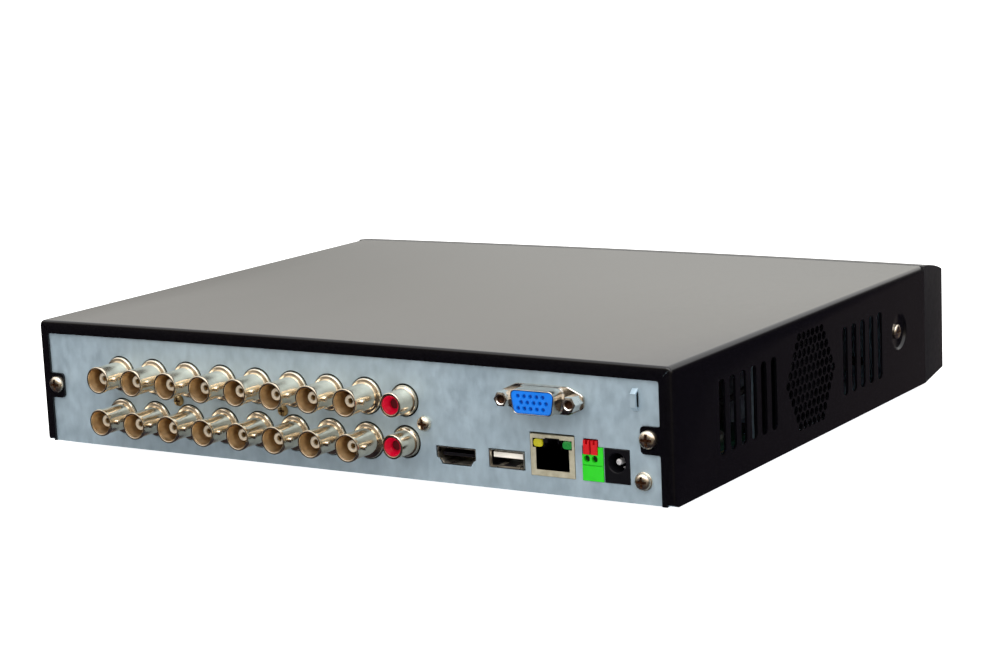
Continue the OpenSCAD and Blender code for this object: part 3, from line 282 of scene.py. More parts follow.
def add_bump(tree, shader, value, strength, depth):
    """Bump from a value socket, on top of any bump that the shader has."""
    node = tree.nodes.new("ShaderNodeBump")
    node.inputs["Strength"].default_value = strength
    node.inputs["Distance"].default_value = depth
    tree.links.new(value, node.inputs["Height"])
    before = shader.inputs["Normal"].links
    if before:
        tree.links.new(before[0].from_socket, node.inputs["Normal"])
    tree.links.new(node.outputs[0], shader.inputs["Normal"])


def powder_coat():
    """Black satin coat: fine orange peel over the slow waves of thin sheet."""
    mat, tree, shader = new_material("powder_coat", (0.0025, 0.0022, 0.0034), 0, 0.24, IOR=1.52)
    tree.links.new(spread(tree, noise(tree, 700), 0.16, 0.2), shader.inputs["Roughness"])
    mottle = spread(tree, noise(tree, 900), 0, 1)
    paint = blend_colours(tree, mottle, (0.0013, 0.0011, 0.0018), (0.0022, 0.0019, 0.003))
    tree.links.new(paint, shader.inputs["Base Color"])
    add_bump(tree, shader, noise(tree, 1500, detail=2), 0.08, 0.08 * MM)
    add_bump(tree, shader, noise(tree, 16, (1, 0.5, 1), 2), 1, 0.45 * MM)
    return mat


def galvanised():
    """Zinc-coated sheet: soft clouds and faint spangle, dull enough to look like paint."""
    mat, tree, shader = new_material("galvanised", (0.56, 0.63, 0.68), 0.7, 0.58)
    clouds = noise(tree, 60, (1, 1, 1.4), 4)
    spangle = noise(tree, 420, (1, 1, 0.6), 3)
    mix = math_node(tree, "ADD", spread(tree, spangle, 0, 0.55), spread(tree, clouds, 0, 0.45))
    zinc = blend_colours(tree, mix, (0.39, 0.50, 0.58), (0.54, 0.665, 0.75))
    tree.links.new(zinc, shader.inputs["Base Color"])
    tree.links.new(spread(tree, spangle, 0.52, 0.64), shader.inputs["Roughness"])
    add_bump(tree, shader, noise(tree, 1200, (3, 3, 0.6)), 0.08, 0.05 * MM)
    return mat


def plated(name, colour, roughness, grain=(1, 1, 1), grime=0.25):
    """Plated or bare metal: fine grain, a few smudges. grime is how much darker the smudges are."""
    mat, tree, shader = new_material(name, colour, 1, roughness)
    dark = tuple(c * (1 - grime) for c in colour)
    smudges = spread(tree, noise(tree, 260, detail=4), 0, 1)
    tree.links.new(blend_colours(tree, smudges, dark, colour), shader.inputs["Base Color"])
    wear = spread(tree, noise(tree, 420, detail=4), roughness * 0.7, roughness * 1.4)
    tree.links.new(wear, shader.inputs["Roughness"])
    add_bump(tree, shader, noise(tree, 2500, grain, 2), 0.1, 0.03 * MM)
    return mat


def moulded(name, colour, roughness, grain=3000, bump=0.1, **sockets):
    """Injection-moulded plastic: slight tone changes and a fine skin."""
    mat, tree, shader = new_material(name, colour, 0, roughness, **sockets)
    dark = tuple(c * 0.82 for c in colour)
    clouds = spread(tree, noise(tree, 220), 0, 1)
    tree.links.new(blend_colours(tree, clouds, dark, colour), shader.inputs["Base Color"])
    sheen = spread(tree, noise(tree, 500), roughness * 0.85, roughness * 1.15)
    tree.links.new(sheen, shader.inputs["Roughness"])
    add_bump(tree, shader, noise(tree, grain, detail=2), bump, 0.05 * MM)
    return mat


def tinned_shield():
    """Dull tinned sheet that stays pale even when it faces a dark room."""
    mat, tree, shader = new_material("tinned_shield", (0.42, 0.39, 0.29), 0.3, 0.5)
    clouds = spread(tree, noise(tree, 500), 0, 1)
    tin = blend_colours(tree, clouds, (0.34, 0.31, 0.22), (0.48, 0.45, 0.34))
    tree.links.new(tin, shader.inputs["Base Color"])
    add_bump(tree, shader, noise(tree, 900), 0.2, 0.1 * MM)
    return mat


def circuit_board_painted_shade():
    """Green solder mask, darkened beyond its own colour as painted shade inside the casing, with the raised
    pattern of the tracks under it.
    """
    mat, tree, shader = new_material("circuit_board_painted_shade", (0.004, 0.035, 0.016), 0, 0.4)
    coords = tree.nodes.new("ShaderNodeTexCoord")
    cells = tree.nodes.new("ShaderNodeTexVoronoi")
    cells.distance = "MANHATTAN"
    cells.inputs["Scale"].default_value = 240
    tree.links.new(coords.outputs["Object"], cells.inputs["Vector"])
    tracks = spread(tree, cells.outputs["Distance"], 0, 1, 0.42, 0.5)
    mask = blend_colours(tree, tracks, (0.0015, 0.014, 0.0065), (0.003, 0.028, 0.013))
    tree.links.new(mask, shader.inputs["Base Color"])
    add_bump(tree, shader, tracks, 0.3, 0.05 * MM)
    return mat


MATERIALS = {
    "cover": powder_coat(),
    "steel": galvanised(),
    "nickel": plated("nickel", (0.99, 0.87, 0.69), 0.19, (0.3, 6, 0.3), 0.2),
    # darker, warmer copy of the nickel for a sleeve inside each BNC mouth: painted shade inside the bore
    "bore": plated("nickel_bore_painted_shade", (0.82, 0.62, 0.38), 0.4, grime=0.2),
    "screw": plated("screw_nickel", (0.98, 0.86, 0.70), 0.26, grime=0.12),
    "jack_nickel": plated("jack_nickel", (1.0, 0.95, 0.88), 0.2, grime=0.12),
    "brass": plated("dull_brass", (0.50, 0.38, 0.2), 0.4),
    "gold": plated("gold", (0.62, 0.5, 0.32), 0.3),
    "tin": plated("tin", (0.80, 0.74, 0.64), 0.33),
    "shield": tinned_shield(),
    "zinc": plated("zinc", (0.7, 0.7, 0.69), 0.35),
    "vga_metal": plated("vga_tin", (0.82, 0.76, 0.68), 0.17, grime=0.3),
    # dark brown for plates deep in screw recesses and threaded holes: painted shade
    "recess": plated("screw_recess_painted_shade", (0.10, 0.045, 0.025), 0.5),
    "pin": moulded("bright_pin", (0.85, 0.84, 0.86), 0.25, Metallic=0.5),
    "insulator": moulded("insulator_plastic", (0.60, 0.53, 0.42), 0.4),
    "bezel": moulded("bezel_plastic", (0.011, 0.0105, 0.012), 0.42, 1800, 0.2),
    "black": moulded("black_plastic", (0.004, 0.0038, 0.0055), 0.35, Specular_IOR_Level=0.25),
    "white": moulded("white_plastic", (0.82, 0.78, 0.70), 0.4),
    "red": moulded("red_plastic", (0.54, 0.0015, 0.024), 0.25, Specular_IOR_Level=0.35),
    # dark red plug in each audio jack's pin hole: painted shade
    "rca_hole": moulded("rca_hole_painted_shade", (0.10, 0.0, 0.004), 0.5, Specular_IOR_Level=0.2),
    "blue": moulded("blue_plastic", (0.001, 0.155, 0.66), 0.4, Specular_IOR_Level=0.2),
    # darker blue plug inside each VGA pin hole: painted shade
    "pin_hole": moulded("pin_hole_painted_shade", (0.0, 0.06, 0.38), 0.5, Specular_IOR_Level=0.2),
    "green": moulded("green_plastic", (0.016, 0.53, 0.010), 0.35, Specular_IOR_Level=0.3),
    # dark green plug in each terminal wire hole: painted shade
    "wire_hole": moulded("wire_hole_painted_shade", (0.002, 0.035, 0.002), 0.5),
    "lever": moulded("lever_plastic", (0.50, 0.002, 0.006), 0.3, Specular_IOR_Level=0.3),
    "rubber": moulded("rubber", (0.02, 0.02, 0.02), 0.75, 1200, 0.3),
    "yellow_lamp": moulded("yellow_lamp", (0.42, 0.38, 0.008), 0.25),
    "green_lamp": moulded("green_lamp", (0.008, 0.20, 0.03), 0.25),
    "clear": moulded("clear_plastic", (0.75, 0.8, 0.85), 0.12),
    "window": moulded("window_plastic", (0.02, 0.004, 0.006), 0.06, 4000, 0.02),
    # darker green than the boards' own: painted shade inside the casing
    "board": circuit_board_painted_shade(),
    "anodised": plated("anodised", (0.05, 0.05, 0.055), 0.4),
    "cast": plated("cast_aluminium", (0.55, 0.56, 0.57), 0.5),
    "lid": plated("disk_lid", (0.66, 0.67, 0.69), 0.3, (0.2, 8, 1)),
    "platter": plated("platter", (0.85, 0.86, 0.88), 0.05, grime=0.02),
    "magnet": plated("magnet", (0.6, 0.6, 0.62), 0.25),
    # near-black in place of the leads' own colour: painted shade inside the casing
    "lead": moulded("lead_sleeve", (0.012, 0.010, 0.012), 0.5),
}


# ---------------------------------------------------------------- outlines and solids

def circle(radius, steps=64):
    """Closed outline, as every outline is: a list of (u, v) across the axis."""
    turns = (math.tau * i / steps for i in range(steps))
    return [(radius * math.cos(a), radius * math.sin(a)) for a in turns]


def arc_between(start, corner, end, steps):
    """Points of a smooth curve from start to end that bends towards the corner."""
    return [
        tuple((1 - t) ** 2 * start + 2 * t * (1 - t) * corner + t * t * end)
        for t in (k / steps for k in range(steps + 1))]


def corner_arcs(corners, radius, steps=6):
    """Closed outline through the corners, each rounded to the radius."""
    outline = []
    count = len(corners)
    for i, corner in enumerate(corners):
        here = Vector(corner)
        back = Vector(corners[i - 1]) - here
        on = Vector(corners[(i + 1) % count]) - here
        half = back.angle(on) / 2
        reach = min(radius / math.tan(half), back.length * 0.49, on.length * 0.49)
        outline += arc_between(here + back.normalized() * reach, here, here + on.normalized() * reach, steps)
    return outline


def rectangle(width, height, radius, inset=0):
    """Rounded rectangle, made smaller all round by the inset."""
    w, h = width / 2 - inset, height / 2 - inset
    return corner_arcs([(w, -h), (w, h), (-w, h), (-w, -h)], max(radius - inset, 0.05 * MM))


def d_shape(top, bottom, height, radius, inset=0):
    """Outline of a D-shaped socket, wider at the top."""
    a, b, h = top / 2 - inset, bottom / 2 - inset, height / 2 - inset
    return corner_arcs([(b, -h), (a, h), (-a, h), (-b, -h)], max(radius - inset, 0.2 * MM))


def hexagon(across, steps=8):
    """Hexagon with the same number of points as a circle of 6 * steps."""
    r = across / math.sqrt(3)
    corners = [Vector(corner) for corner in circle(r, 6)]
    return [
        tuple(corners[i].lerp(corners[(i + 1) % 6], k / steps))
        for i in range(6) for k in range(steps)]


def placed(axis, centre, u, v, t):
    """Point at t along the axis, and at (u, v) across it from the centre."""
    if axis == "Y":
        return (centre.x + u, t, centre.z + v)
    if axis == "X":
        return (t, centre.y + u, centre.z + v)
    return (centre.x + u, centre.y + v, t)


def loft(bm, loops, axis, centre, closed=False):
    """Skin through loops, each (outline, place along axis). A closed loft joins the last to the first."""
    rings = [[bm.verts.new(placed(axis, centre, u, v, t)) for u, v in outline] for outline, t in loops]
    pairs = list(zip(rings, rings[1:]))
    if closed:
        pairs.append((rings[-1], rings[0]))
    else:
        bm.faces.new(rings[0])
        bm.faces.new(rings[-1])
    for a, b in pairs:
        count = len(a)
        for i in range(count):
            bm.faces.new((a[i], a[(i + 1) % count], b[(i + 1) % count], b[i]))


def turned(profile, base=0.0, steps=64):
    """Loops of a turned part from (radius, distance) pairs in millimetres."""
    return [(circle(r * MM, steps), base + t * MM) for r, t in profile]


def box_into(bm, low, high):
    """Block between two opposite corners."""
    low, high = Vector(low), Vector(high)
    bmesh.ops.create_cube(bm, size=1, matrix=Matrix.LocRotScale((low + high) / 2, None, high - low))


def finish_mesh(name, bm, material, nodes=(), sharp=SHARP):
    """Makes bm a piece that rides on the casing and stands for the nodes."""
    bmesh.ops.recalc_face_normals(bm, faces=bm.faces)
    mesh = bpy.data.meshes.new(name)
    bm.to_mesh(mesh)
    bm.free()
    piece = bpy.data.objects.new(name, mesh)
    scene.collection.objects.link(piece)
    mesh.materials.append(MATERIALS[material])
    return settle(piece, nodes, CASING, sharp)


def settle(piece, nodes, body, sharp=SHARP):
    """Shades a piece, gives it its body and hides the nodes that it stands for."""
    shade(piece.data, sharp)
    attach(piece, body)
    if nodes:
        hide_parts(*nodes)
    return piece


def shade(mesh, sharp=SHARP):
    """Smooth shading, with sharp edges from an angle of that many degrees."""
    mesh.polygons.foreach_set("use_smooth", [True] * len(mesh.polygons))
    mesh.set_sharp_from_angle(angle=math.radians(sharp))


def apply_modifiers(piece):
    """Turns a piece's modifiers into mesh."""
    graph = bpy.context.evaluated_depsgraph_get()
    mesh = bpy.data.meshes.new_from_object(piece.evaluated_get(graph))
    piece.modifiers.clear()
    piece.data = mesh


def cut_away(piece, bm):
    """Takes the solids in bm out of piece."""
    mesh = bpy.data.meshes.new("cutter")
    bmesh.ops.recalc_face_normals(bm, faces=bm.faces)
    bm.to_mesh(mesh)
    bm.free()
    cutter = bpy.data.objects.new("cutter", mesh)
    scene.collection.objects.link(cutter)
    modifier = piece.modifiers.new("cut", "BOOLEAN")
    modifier.operation = "DIFFERENCE"
    modifier.solver = "EXACT"
    modifier.object = cutter
    apply_modifiers(piece)
    bpy.data.objects.remove(cutter)


def from_cad(node, material, bevel, body=CASING):
    """The CAD node's own shape with rounded edges. Its larger flat faces are shaded flat."""
    bm = bmesh.new()
    bm.from_mesh(frame["nodes"][node].data)
    bmesh.ops.remove_doubles(bm, verts=bm.verts, dist=1e-6)
    bmesh.ops.dissolve_limit(bm, angle_limit=math.radians(0.5), verts=bm.verts, edges=bm.edges)
    mesh = bpy.data.meshes.new(node + "_piece")
    bm.to_mesh(mesh)
    bm.free()
    piece = bpy.data.objects.new(node + "_piece", mesh)
    scene.collection.objects.link(piece)
    mesh.materials.clear()
    mesh.materials.append(MATERIALS[material])
    modifier = piece.modifiers.new("edges", "BEVEL")
    modifier.width = bevel
    modifier.segments = 2
    modifier.limit_method = "ANGLE"
    modifier.angle_limit = math.radians(30)
    modifier.use_clamp_overlap = True
    apply_modifiers(piece)
    settle(piece, [node], body)
    for face in piece.data.polygons:
        square_on = max(abs(part) for part in face.normal) > 0.9999
        smallest_flat = (3 if square_on else 30) * MM ** 2
        face.use_smooth = face.area < smallest_flat
    return piece


# ---------------------------------------------------------------- casing

FLANGE = 4.8 * MM           # width of the cover's rear flange along the top
SIDE_FLANGE = {1: 3.7 * MM, -1: 4.8 * MM}   # and down the +X and the -X side
TAB_IN = {1: 119.8 * MM, -1: 117.7 * MM}    # inner ends of the screw tabs
TAB_SCREW = {1: 123.1 * MM, -1: 120.5 * MM}
TAB_SCREW_Z = 24.3 * MM
TAB_Z = (19.5 * MM, 28.5 * MM)              # bottom and top of the tabs
TAB_R = 1.6 * MM            # outer corners of the tabs
INNER_R = 0.8 * MM          # inner corners between flange and tab
BEND = 2.2 * MM             # outer radius of the long bends
REAR_BEND = 0.9 * MM
CORNER_R = 2.3 * MM         # lower rear corners of the sides
CROWN = 0.65 * MM           # how much higher the top is in the middle than at its sides
SLOT = (4.2 * MM, 24.6 * MM)                # width and height of a side slot
SLOT_Z = 25.3 * MM
SLOT_PITCH = 7.55 * MM
SLOT_GROUPS = [(71 * MM, 6), (-24 * MM, 5)]  # first slot's place along Y, and how many
GRILLE_RINGS = 5            # rings of holes round the grille's middle one
GRILLE_PITCH = 3.6 * MM
GRILLE_HOLE_R = 1.55 * MM
DIMPLE_R = 6.9 * MM         # pressed recess round each side screw
dimple = Vector((cover_high.x, -72 * MM, 27.2 * MM))
fan_low, fan_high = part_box("fan_frame")
fan_centre = (fan_low + fan_high) / 2


def flange_inner_path():
    """Inner edge of the rear flange from the +X foot, over the top, to the -X foot."""
    low_z, high_z = TAB_Z
    corners = []
    for side in (1, -1):
        inner = side * (cover_high.x - SIDE_FLANGE[side])
        tab = side * TAB_IN[side]
        strip = [
            (inner, cover_low.z, 0), (inner, low_z, INNER_R), (tab, low_z, TAB_R), (tab, high_z, TAB_R),
            (inner, high_z, INNER_R), (inner, cover_high.z - FLANGE, INNER_R)]
        corners += strip if side > 0 else strip[::-1]
    path = []
    for i, (x, z, r) in enumerate(corners):
        here = Vector((x, z))
        if r == 0:
            path.append((x, z))
            continue
        start = here + (Vector(corners[i - 1][:2]) - here).normalized() * r
        end = here + (Vector(corners[i + 1][:2]) - here).normalized() * r
        path += arc_between(start, here, end, 6)
    return path


def cover_shell():
    """Outer skin: top and sides with their bends, and the rear flange with its two tabs."""
    low, high = cover_low, cover_high
    bm = bmesh.new()
    box_into(bm, low, high)
    open_sides = [f for f in bm.faces if f.normal.z < -0.5 or f.normal.y < -0.5]
    bmesh.ops.delete(bm, geom=open_sides, context="FACES_ONLY")
    folds = [e for e in bm.edges if len(e.link_faces) == 2]
    long_folds = [e for e in folds if abs(e.verts[0].co.y - e.verts[1].co.y) > 0.1]
    bmesh.ops.bevel(bm, geom=long_folds, offset=BEND, segments=8, profile=0.5, affect="EDGES")
    folds = [e for e in bm.edges if len(e.link_faces) == 2]
    rear_folds = [e for e in folds if all(v.co.y > high.y - 1e-6 for v in e.verts)]
    bmesh.ops.bevel(bm, geom=rear_folds, offset=REAR_BEND, segments=4, profile=0.5, affect="EDGES")
    rear = max((f for f in bm.faces if f.normal.y > 0.999), key=lambda f: f.calc_area())
    outer = list(rear.verts)
    bmesh.ops.delete(bm, geom=[rear], context="FACES_ONLY")
    # the outer edge starts at the -X foot and goes over the top, where the inner path comes back
    foot = [v for v in outer if abs(v.co.z - low.z) < 1e-7]
    start = min(foot, key=lambda v: v.co.x)
    at = outer.index(start)
    outer = outer[at:] + outer[:at]
    if outer[1] in foot:
        outer = [outer[0]] + outer[:0:-1]
    inner = [bm.verts.new((x, high.y, z)) for x, z in flange_inner_path()]
    bm.faces.new(outer + inner)
    return bm


def rod_x_into(bm, y, z, radius, x0, x1, steps=24):
    """Round rod along X."""
    loft(bm, [(circle(radius, steps), x0), (circle(radius, steps), x1)], "X", Vector((0, y, z)))


def grille_holes():
    """Centres (y, z) of the grille's holes, which fill a hexagon in front of the fan."""
    for row in range(-GRILLE_RINGS, GRILLE_RINGS + 1):
        count = 2 * GRILLE_RINGS + 1 - abs(row)
        for i in range(count):
            along = (i - (count - 1) / 2) * GRILLE_PITCH
            yield fan_centre.y + along, fan_centre.z + row * GRILLE_PITCH * math.sin(math.radians(60))


def side_cutters():
    """Slots, hexagonal grille and dimple holes of both sides."""
    bm = bmesh.new()
    for side in (-1, 1):
        x0, x1 = sorted((side * (cover_high.x - 2 * MM), side * (cover_high.x + 1 * MM)))
        for first, count in SLOT_GROUPS:
            for i in range(count):
                outline = rectangle(*SLOT, SLOT[0] / 2)
                loft(bm, [(outline, x0), (outline, x1)], "X", Vector((0, first - i * SLOT_PITCH, SLOT_Z)))
        for y, z in grille_holes():
            rod_x_into(bm, y, z, GRILLE_HOLE_R, x0, x1)
        rod_x_into(bm, dimple.y, dimple.z, DIMPLE_R, x0, x1, 64)
    return bm


def corner_cutters():
    """Rounds the lower rear corners of the cover, and of the chassis behind them."""
    bm = bmesh.new()
    round_y, round_z = cover_high.y - CORNER_R, cover_low.z + CORNER_R
    arc = [
        (round_y + CORNER_R * math.cos(a), round_z + CORNER_R * math.sin(a))
        for a in (math.radians(-90 + 10 * k) for k in range(10))]
    past_y, past_z = cover_high.y + MM, cover_low.z - MM
    beyond = [(past_y, round_z), (past_y, past_z), (round_y, past_z)]
    for side in (-1, 1):
        ends = sorted((side * (cover_high.x - 3 * MM), side * (cover_high.x + 1 * MM)))
        loft(bm, [(arc + beyond, t) for t in ends], "X", Vector((0, 0, 0)))
    return bm


def mitre_cutters():
    """Slits where the flange's strips meet at its upper corners."""
    bm = bmesh.new()
    for side in (-1, 1):
        corner = Vector((side * cover_high.x, 0, cover_high.z))
        inwards = Vector((-side, 0, -1)).normalized()
        across = Vector((side, 0, -1)).normalized() * 0.14 * MM
        near, far = corner + inwards * 1.6 * MM, corner + inwards * 5 * MM
        slit = [near - across, near + across, far + across, far - across]
        outline = [(point.x, point.z) for point in slit]
        loft(bm, [(outline, rear_y - 0.9 * MM), (outline, rear_y + MM)], "Y", Vector((0, 0, 0)))
    return bm


def crown(piece):
    """Lets the top, and the flange's upper strip, rise a little towards the middle."""
    low, high = cover_high.z - 10 * MM, cover_high.z - 5 * MM
    bm = bmesh.new()
    bm.from_mesh(piece.data)
    for x in range(-110, 120, 20):
        everything = bm.verts[:] + bm.edges[:] + bm.faces[:]
        bmesh.ops.bisect_plane(bm, geom=everything, plane_co=(x * MM, 0, 0), plane_no=(1, 0, 0))
    for vertex in bm.verts:
        share = min(max((vertex.co.z - low) / (high - low), 0), 1)
        vertex.co.z -= share * CROWN * (vertex.co.x / cover_high.x) ** 2
    bm.to_mesh(piece.data)
    bm.free()
    shade(piece.data)


def dimple_dish(bm, side):
    """Pressed recess round a side screw, outer face first, as one ring of sheet."""
    profile = [
        (6.9, 0), (6.6, 0.03), (6.3, 0.3), (6.0, 0.8), (5.7, 1.0), (1.7, 1.0), (1.7, 1.8), (6.2, 1.8),
        (6.7, 1.5), (6.9, 0.8)]
    loops = [(circle(r * MM), side * (dimple.x - t * MM)) for r, t in profile]
    loft(bm, loops, "X", dimple, closed=True)


def build_cover():
    """The folded cover, with its openings, dimples and crown."""
    piece = finish_mesh("cover_shell", cover_shell(), "cover", ["top_cover"])
    modifier = piece.modifiers.new("sheet", "SOLIDIFY")
    modifier.thickness = SHEET
    modifier.offset = -1
    modifier.use_even_offset = True
    apply_modifiers(piece)
    cut_away(piece, side_cutters())
    cut_away(piece, corner_cutters())
    cut_away(piece, mitre_cutters())
    bm = bmesh.new()
    bm.from_mesh(piece.data)
    for side in (-1, 1):
        dimple_dish(bm, side)
    bm.to_mesh(piece.data)
    bm.free()
    crown(piece)


def cross_outline(arm, half_width):
    """Outline of a cross recess."""
    quarter = [(arm, -half_width), (arm, half_width), (half_width, half_width)]
    turns = [
        quarter,
        [(-v, u) for u, v in quarter],
        [(-u, -v) for u, v in quarter],
        [(v, -u) for u, v in quarter]]
    return [point for turn in turns for point in turn]


def screw(name, material, centre, axis, out, seat, head_r, head_h, shank):
    """Pan-head screw with a cross recess, whose floor holds a dark plate of painted shade. out is +1 or -1
    along the axis, seat is under the head.
    """
    profile = [
        (0.3, head_h), (head_r * 0.5, head_h * 0.98), (head_r * 0.75, head_h * 0.86),
        (head_r * 0.93, head_h * 0.6), (head_r, head_h * 0.3), (head_r, 0.05), (head_r - 0.08, 0),
        (shank, 0), (shank, -4)]
    bm = bmesh.new()
    loft(bm, [(circle(r * MM, 48), seat + out * t * MM) for r, t in profile], axis, centre)
    piece = finish_mesh(name, bm, material)
    cross = cross_outline(head_r * 0.66 * MM, head_r * 0.16 * MM)
    bm = bmesh.new()
    ends = sorted((seat + out * head_h * 0.15 * MM, seat + out * (head_h + 1) * MM))
    loft(bm, [(cross, t) for t in ends], axis, centre)
    cut_away(piece, bm)
    shade(piece.data)
    # dark plate near the floor of the cross recess: painted shade
    bm = bmesh.new()
    floor = [seat + out * head_h * share * MM for share in (0.1, 0.3)]
    loft(bm, [(cross, t) for t in floor], axis, centre)
    finish_mesh(name + "_recess", bm, "recess")
    return piece


def join(pieces, name, nodes):
    """One object from several, replacing the nodes."""
    bm = bmesh.new()
    for piece in pieces:
        bm.from_mesh(piece.data)
    first = pieces[0]
    mesh = bpy.data.meshes.new(name)
    bm.to_mesh(mesh)
    bm.free()
    for material in first.data.materials:
        mesh.materials.append(material)
    for piece in pieces[1:]:
        bpy.data.objects.remove(piece)
    first.data = mesh
    first.name = name
    shade(mesh)
    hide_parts(*nodes)


SCREW_SHANK = 1.45          # millimetres, as are the other sizes given to screw()
BLOCK_SHANK = 1.15
BNC_BLOCK_SCREW_X = (66.9, 21.2)
BNC_BLOCK_SCREW_Z = 22.4
RCA_BLOCK_SCREW = (-36.8, 22.6)


def build_screws():
    """Two tab screws, two side screws, the ground screw and the jack blocks' screws."""
    pieces = []
    for side in (-1, 1):
        centre = Vector((side * TAB_SCREW[side], 0, TAB_SCREW_Z))
        pieces.append(screw(
            "tab_screw", "screw", centre, "Y", 1, rear_y, 3, 1.7, SCREW_SHANK))
        seat = side * (dimple.x - MM)
        pieces.append(screw(
            "side_screw", "screw", dimple, "X", side, seat, 2.7, 0.95, SCREW_SHANK))
    join(pieces, "cover_screw_set", ["cover_screws"])
    low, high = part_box("ground_screw")
    centre = (low + high) / 2
    seat = panel_y + 0.6 * MM
    earth = [screw("earth_screw", "screw", centre, "Y", 1, seat, 2.75, 1.7, SCREW_SHANK)]
    washer = [(1.6, 0), (2.9, 0), (3.0, 0.1), (3.0, 0.5), (2.9, 0.6), (1.6, 0.6)]
    bm = bmesh.new()
    loft(bm, turned(washer, panel_y), "Y", centre, True)
    earth.append(finish_mesh("earth_washer", bm, "screw"))
    join(earth, "earth_screw_set", ["ground_screw"])
    block = []
    for x in BNC_BLOCK_SCREW_X:
        centre = Vector((x, 0, BNC_BLOCK_SCREW_Z)) * MM
        block.append(screw(
            "block_screw", "brass", centre, "Y", 1, panel_y, 2, 1.4, BLOCK_SHANK))
    join(block, "bnc_block_screw_set", ["jack_block_screws"])
    x, z = RCA_BLOCK_SCREW
    centre = Vector((x, 0, z)) * MM
    screw("rca_block_screw", "screw", centre, "Y", 1, panel_y, 2.5, 2, BLOCK_SHANK)


def build_feet():
    """Rubber feet with a hollow under the middle and a barb that snaps into the floor."""
    for i in range(1, 5):
        low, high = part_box(f"foot_{i}")
        centre = (low + high) / 2
        r = (high.x - low.x) / 2 / MM
        profile = [
            (2.2, 1.0), (2.9, 1.0), (3.0, 0.9), (3.1, 0.1), (3.3, 0), (r - 1.2, 0), (r - 0.8, 0.2),
            (r - 0.15, 2.8), (r - 0.1, 3.1), (r - 0.4, 3.2), (2.8, 3.2), (2.8, 4.1), (3.5, 4.1), (2.0, 6.3)]
        bm = bmesh.new()
        loft(bm, turned(profile), "Z", centre)
        finish_mesh(f"rubber_foot_{i}", bm, "rubber", [f"foot_{i}"])


# ---------------------------------------------------------------- video and audio jacks

# Profiles are (radius, distance out from the panel) in millimetres.

def bnc_shell_into(bm, place):
    """Bayonet shell with its flange and two lugs."""
    profile = [
        (2.4, -9), (4.5, -9), (4.5, -0.8), (5.95, -0.8), (6.05, -0.7), (6.05, 0.5), (5.98, 0.75),
        (5.8, 0.93), (5.5, 1.0), (4.9, 1.0), (4.66, 1.1), (4.55, 1.35), (4.55, 11.4), (4.68, 11.48),
        (4.8, 11.65), (4.8, 12.5), (4.74, 12.7), (4.58, 12.8), (4.32, 12.8), (4.14, 12.7), (4.05, 12.5),
        (4.05, -7), (2.4, -7)]
    loft(bm, turned(profile, panel_y), "Y", place, closed=True)
    for side in (-1, 1):
        lug = [(0.95, 4.2), (0.95, 5.45), (0.85, 5.62), (0.6, 5.7)]
        centre = Vector((0, panel_y + 9.2 * MM, place.z))
        loft(bm, [(circle(r * MM, 20), place.x + side * t * MM) for r, t in lug], "X", centre)


def build_bnc():
    """Sixteen jacks in two rows of eight, with one pair of shells for each column."""
    columns = len(bnc_places) // 2
    for column in range(columns):
        bm = bmesh.new()
        bnc_shell_into(bm, bnc_places[column])
        bnc_shell_into(bm, bnc_places[column + columns])
        finish_mesh(f"bnc_pair_{column + 1}", bm, "nickel", [f"bnc_shells_{column + 1}"])
    # thin sleeve of darker nickel just inside each shell's bore: painted shade
    bore = [(4.04, -6.9), (4.04, 12.35), (3.98, 12.4), (3.92, 12.3), (3.92, -6.9)]
    body = [(1.0, -9), (2.1, -9), (2.1, 8.9), (2.02, 9.2), (1.8, 9.3), (1.45, 9.3), (1.2, 9.18), (1.0, 8.9)]
    tube = [(0.3, 2), (0.95, 2), (0.95, 8.7), (0.88, 8.8), (0.72, 8.8), (0.62, 8.65), (0.62, 3), (0.3, 3)]
    bore_shade_sleeves, insulators, contacts = bmesh.new(), bmesh.new(), bmesh.new()
    for place in bnc_places:
        loft(bore_shade_sleeves, turned(bore, panel_y), "Y", place, closed=True)
        loft(insulators, turned(body, panel_y, 40), "Y", place, closed=True)
        loft(contacts, turned(tube, panel_y, 24), "Y", place, closed=True)
    finish_mesh("bnc_bore_painted_shade_set", bore_shade_sleeves, "bore")
    finish_mesh("bnc_insulator_set", insulators, "insulator", ["bnc_insulators"])
    finish_mesh("bnc_contact_set", contacts, "gold", ["bnc_contacts"])


def build_rca():
    """Two audio jacks: nickel shell, red insert, and a dark red plug of painted shade in the hole for the
    plug's pin.
    """
    shell = [
        (3.25, -6.8), (4.15, -6.8), (4.15, -0.8), (5.0, -0.8), (5.1, -0.7), (5.1, 0.35), (5.02, 0.5),
        (4.9, 0.56), (4.8, 0.85), (4.6, 1.1), (4.35, 1.22), (4.2, 1.3), (4.15, 1.45), (4.15, 8.0),
        (4.08, 8.26), (3.9, 8.4), (3.45, 8.4), (3.3, 8.34), (3.25, 8.15)]
    insert = [
        (3.2, -6.8), (3.2, 8.0), (3.12, 8.15), (2.95, 8.12), (2.5, 7.3), (2.1, 6.6), (1.75, 6.2),
        (1.65, 5.9), (1.65, -4)]
    shells, inserts, holes = bmesh.new(), bmesh.new(), bmesh.new()
    for place in rca_places:
        loft(shells, turned(shell, panel_y), "Y", place, closed=True)
        loft(inserts, turned(insert, panel_y), "Y", place)
        # dark plug filling the pin hole: painted shade
        loft(holes, turned([(1.6, -3), (1.6, 5.6)], panel_y, 32), "Y", place)
    finish_mesh("rca_hole_shade_set", holes, "rca_hole")
    finish_mesh("rca_shell_set", shells, "nickel", ["rca_shells"])
    finish_mesh("rca_insert_set", inserts, "red", ["rca_inserts"])


# ---------------------------------------------------------------- data jacks

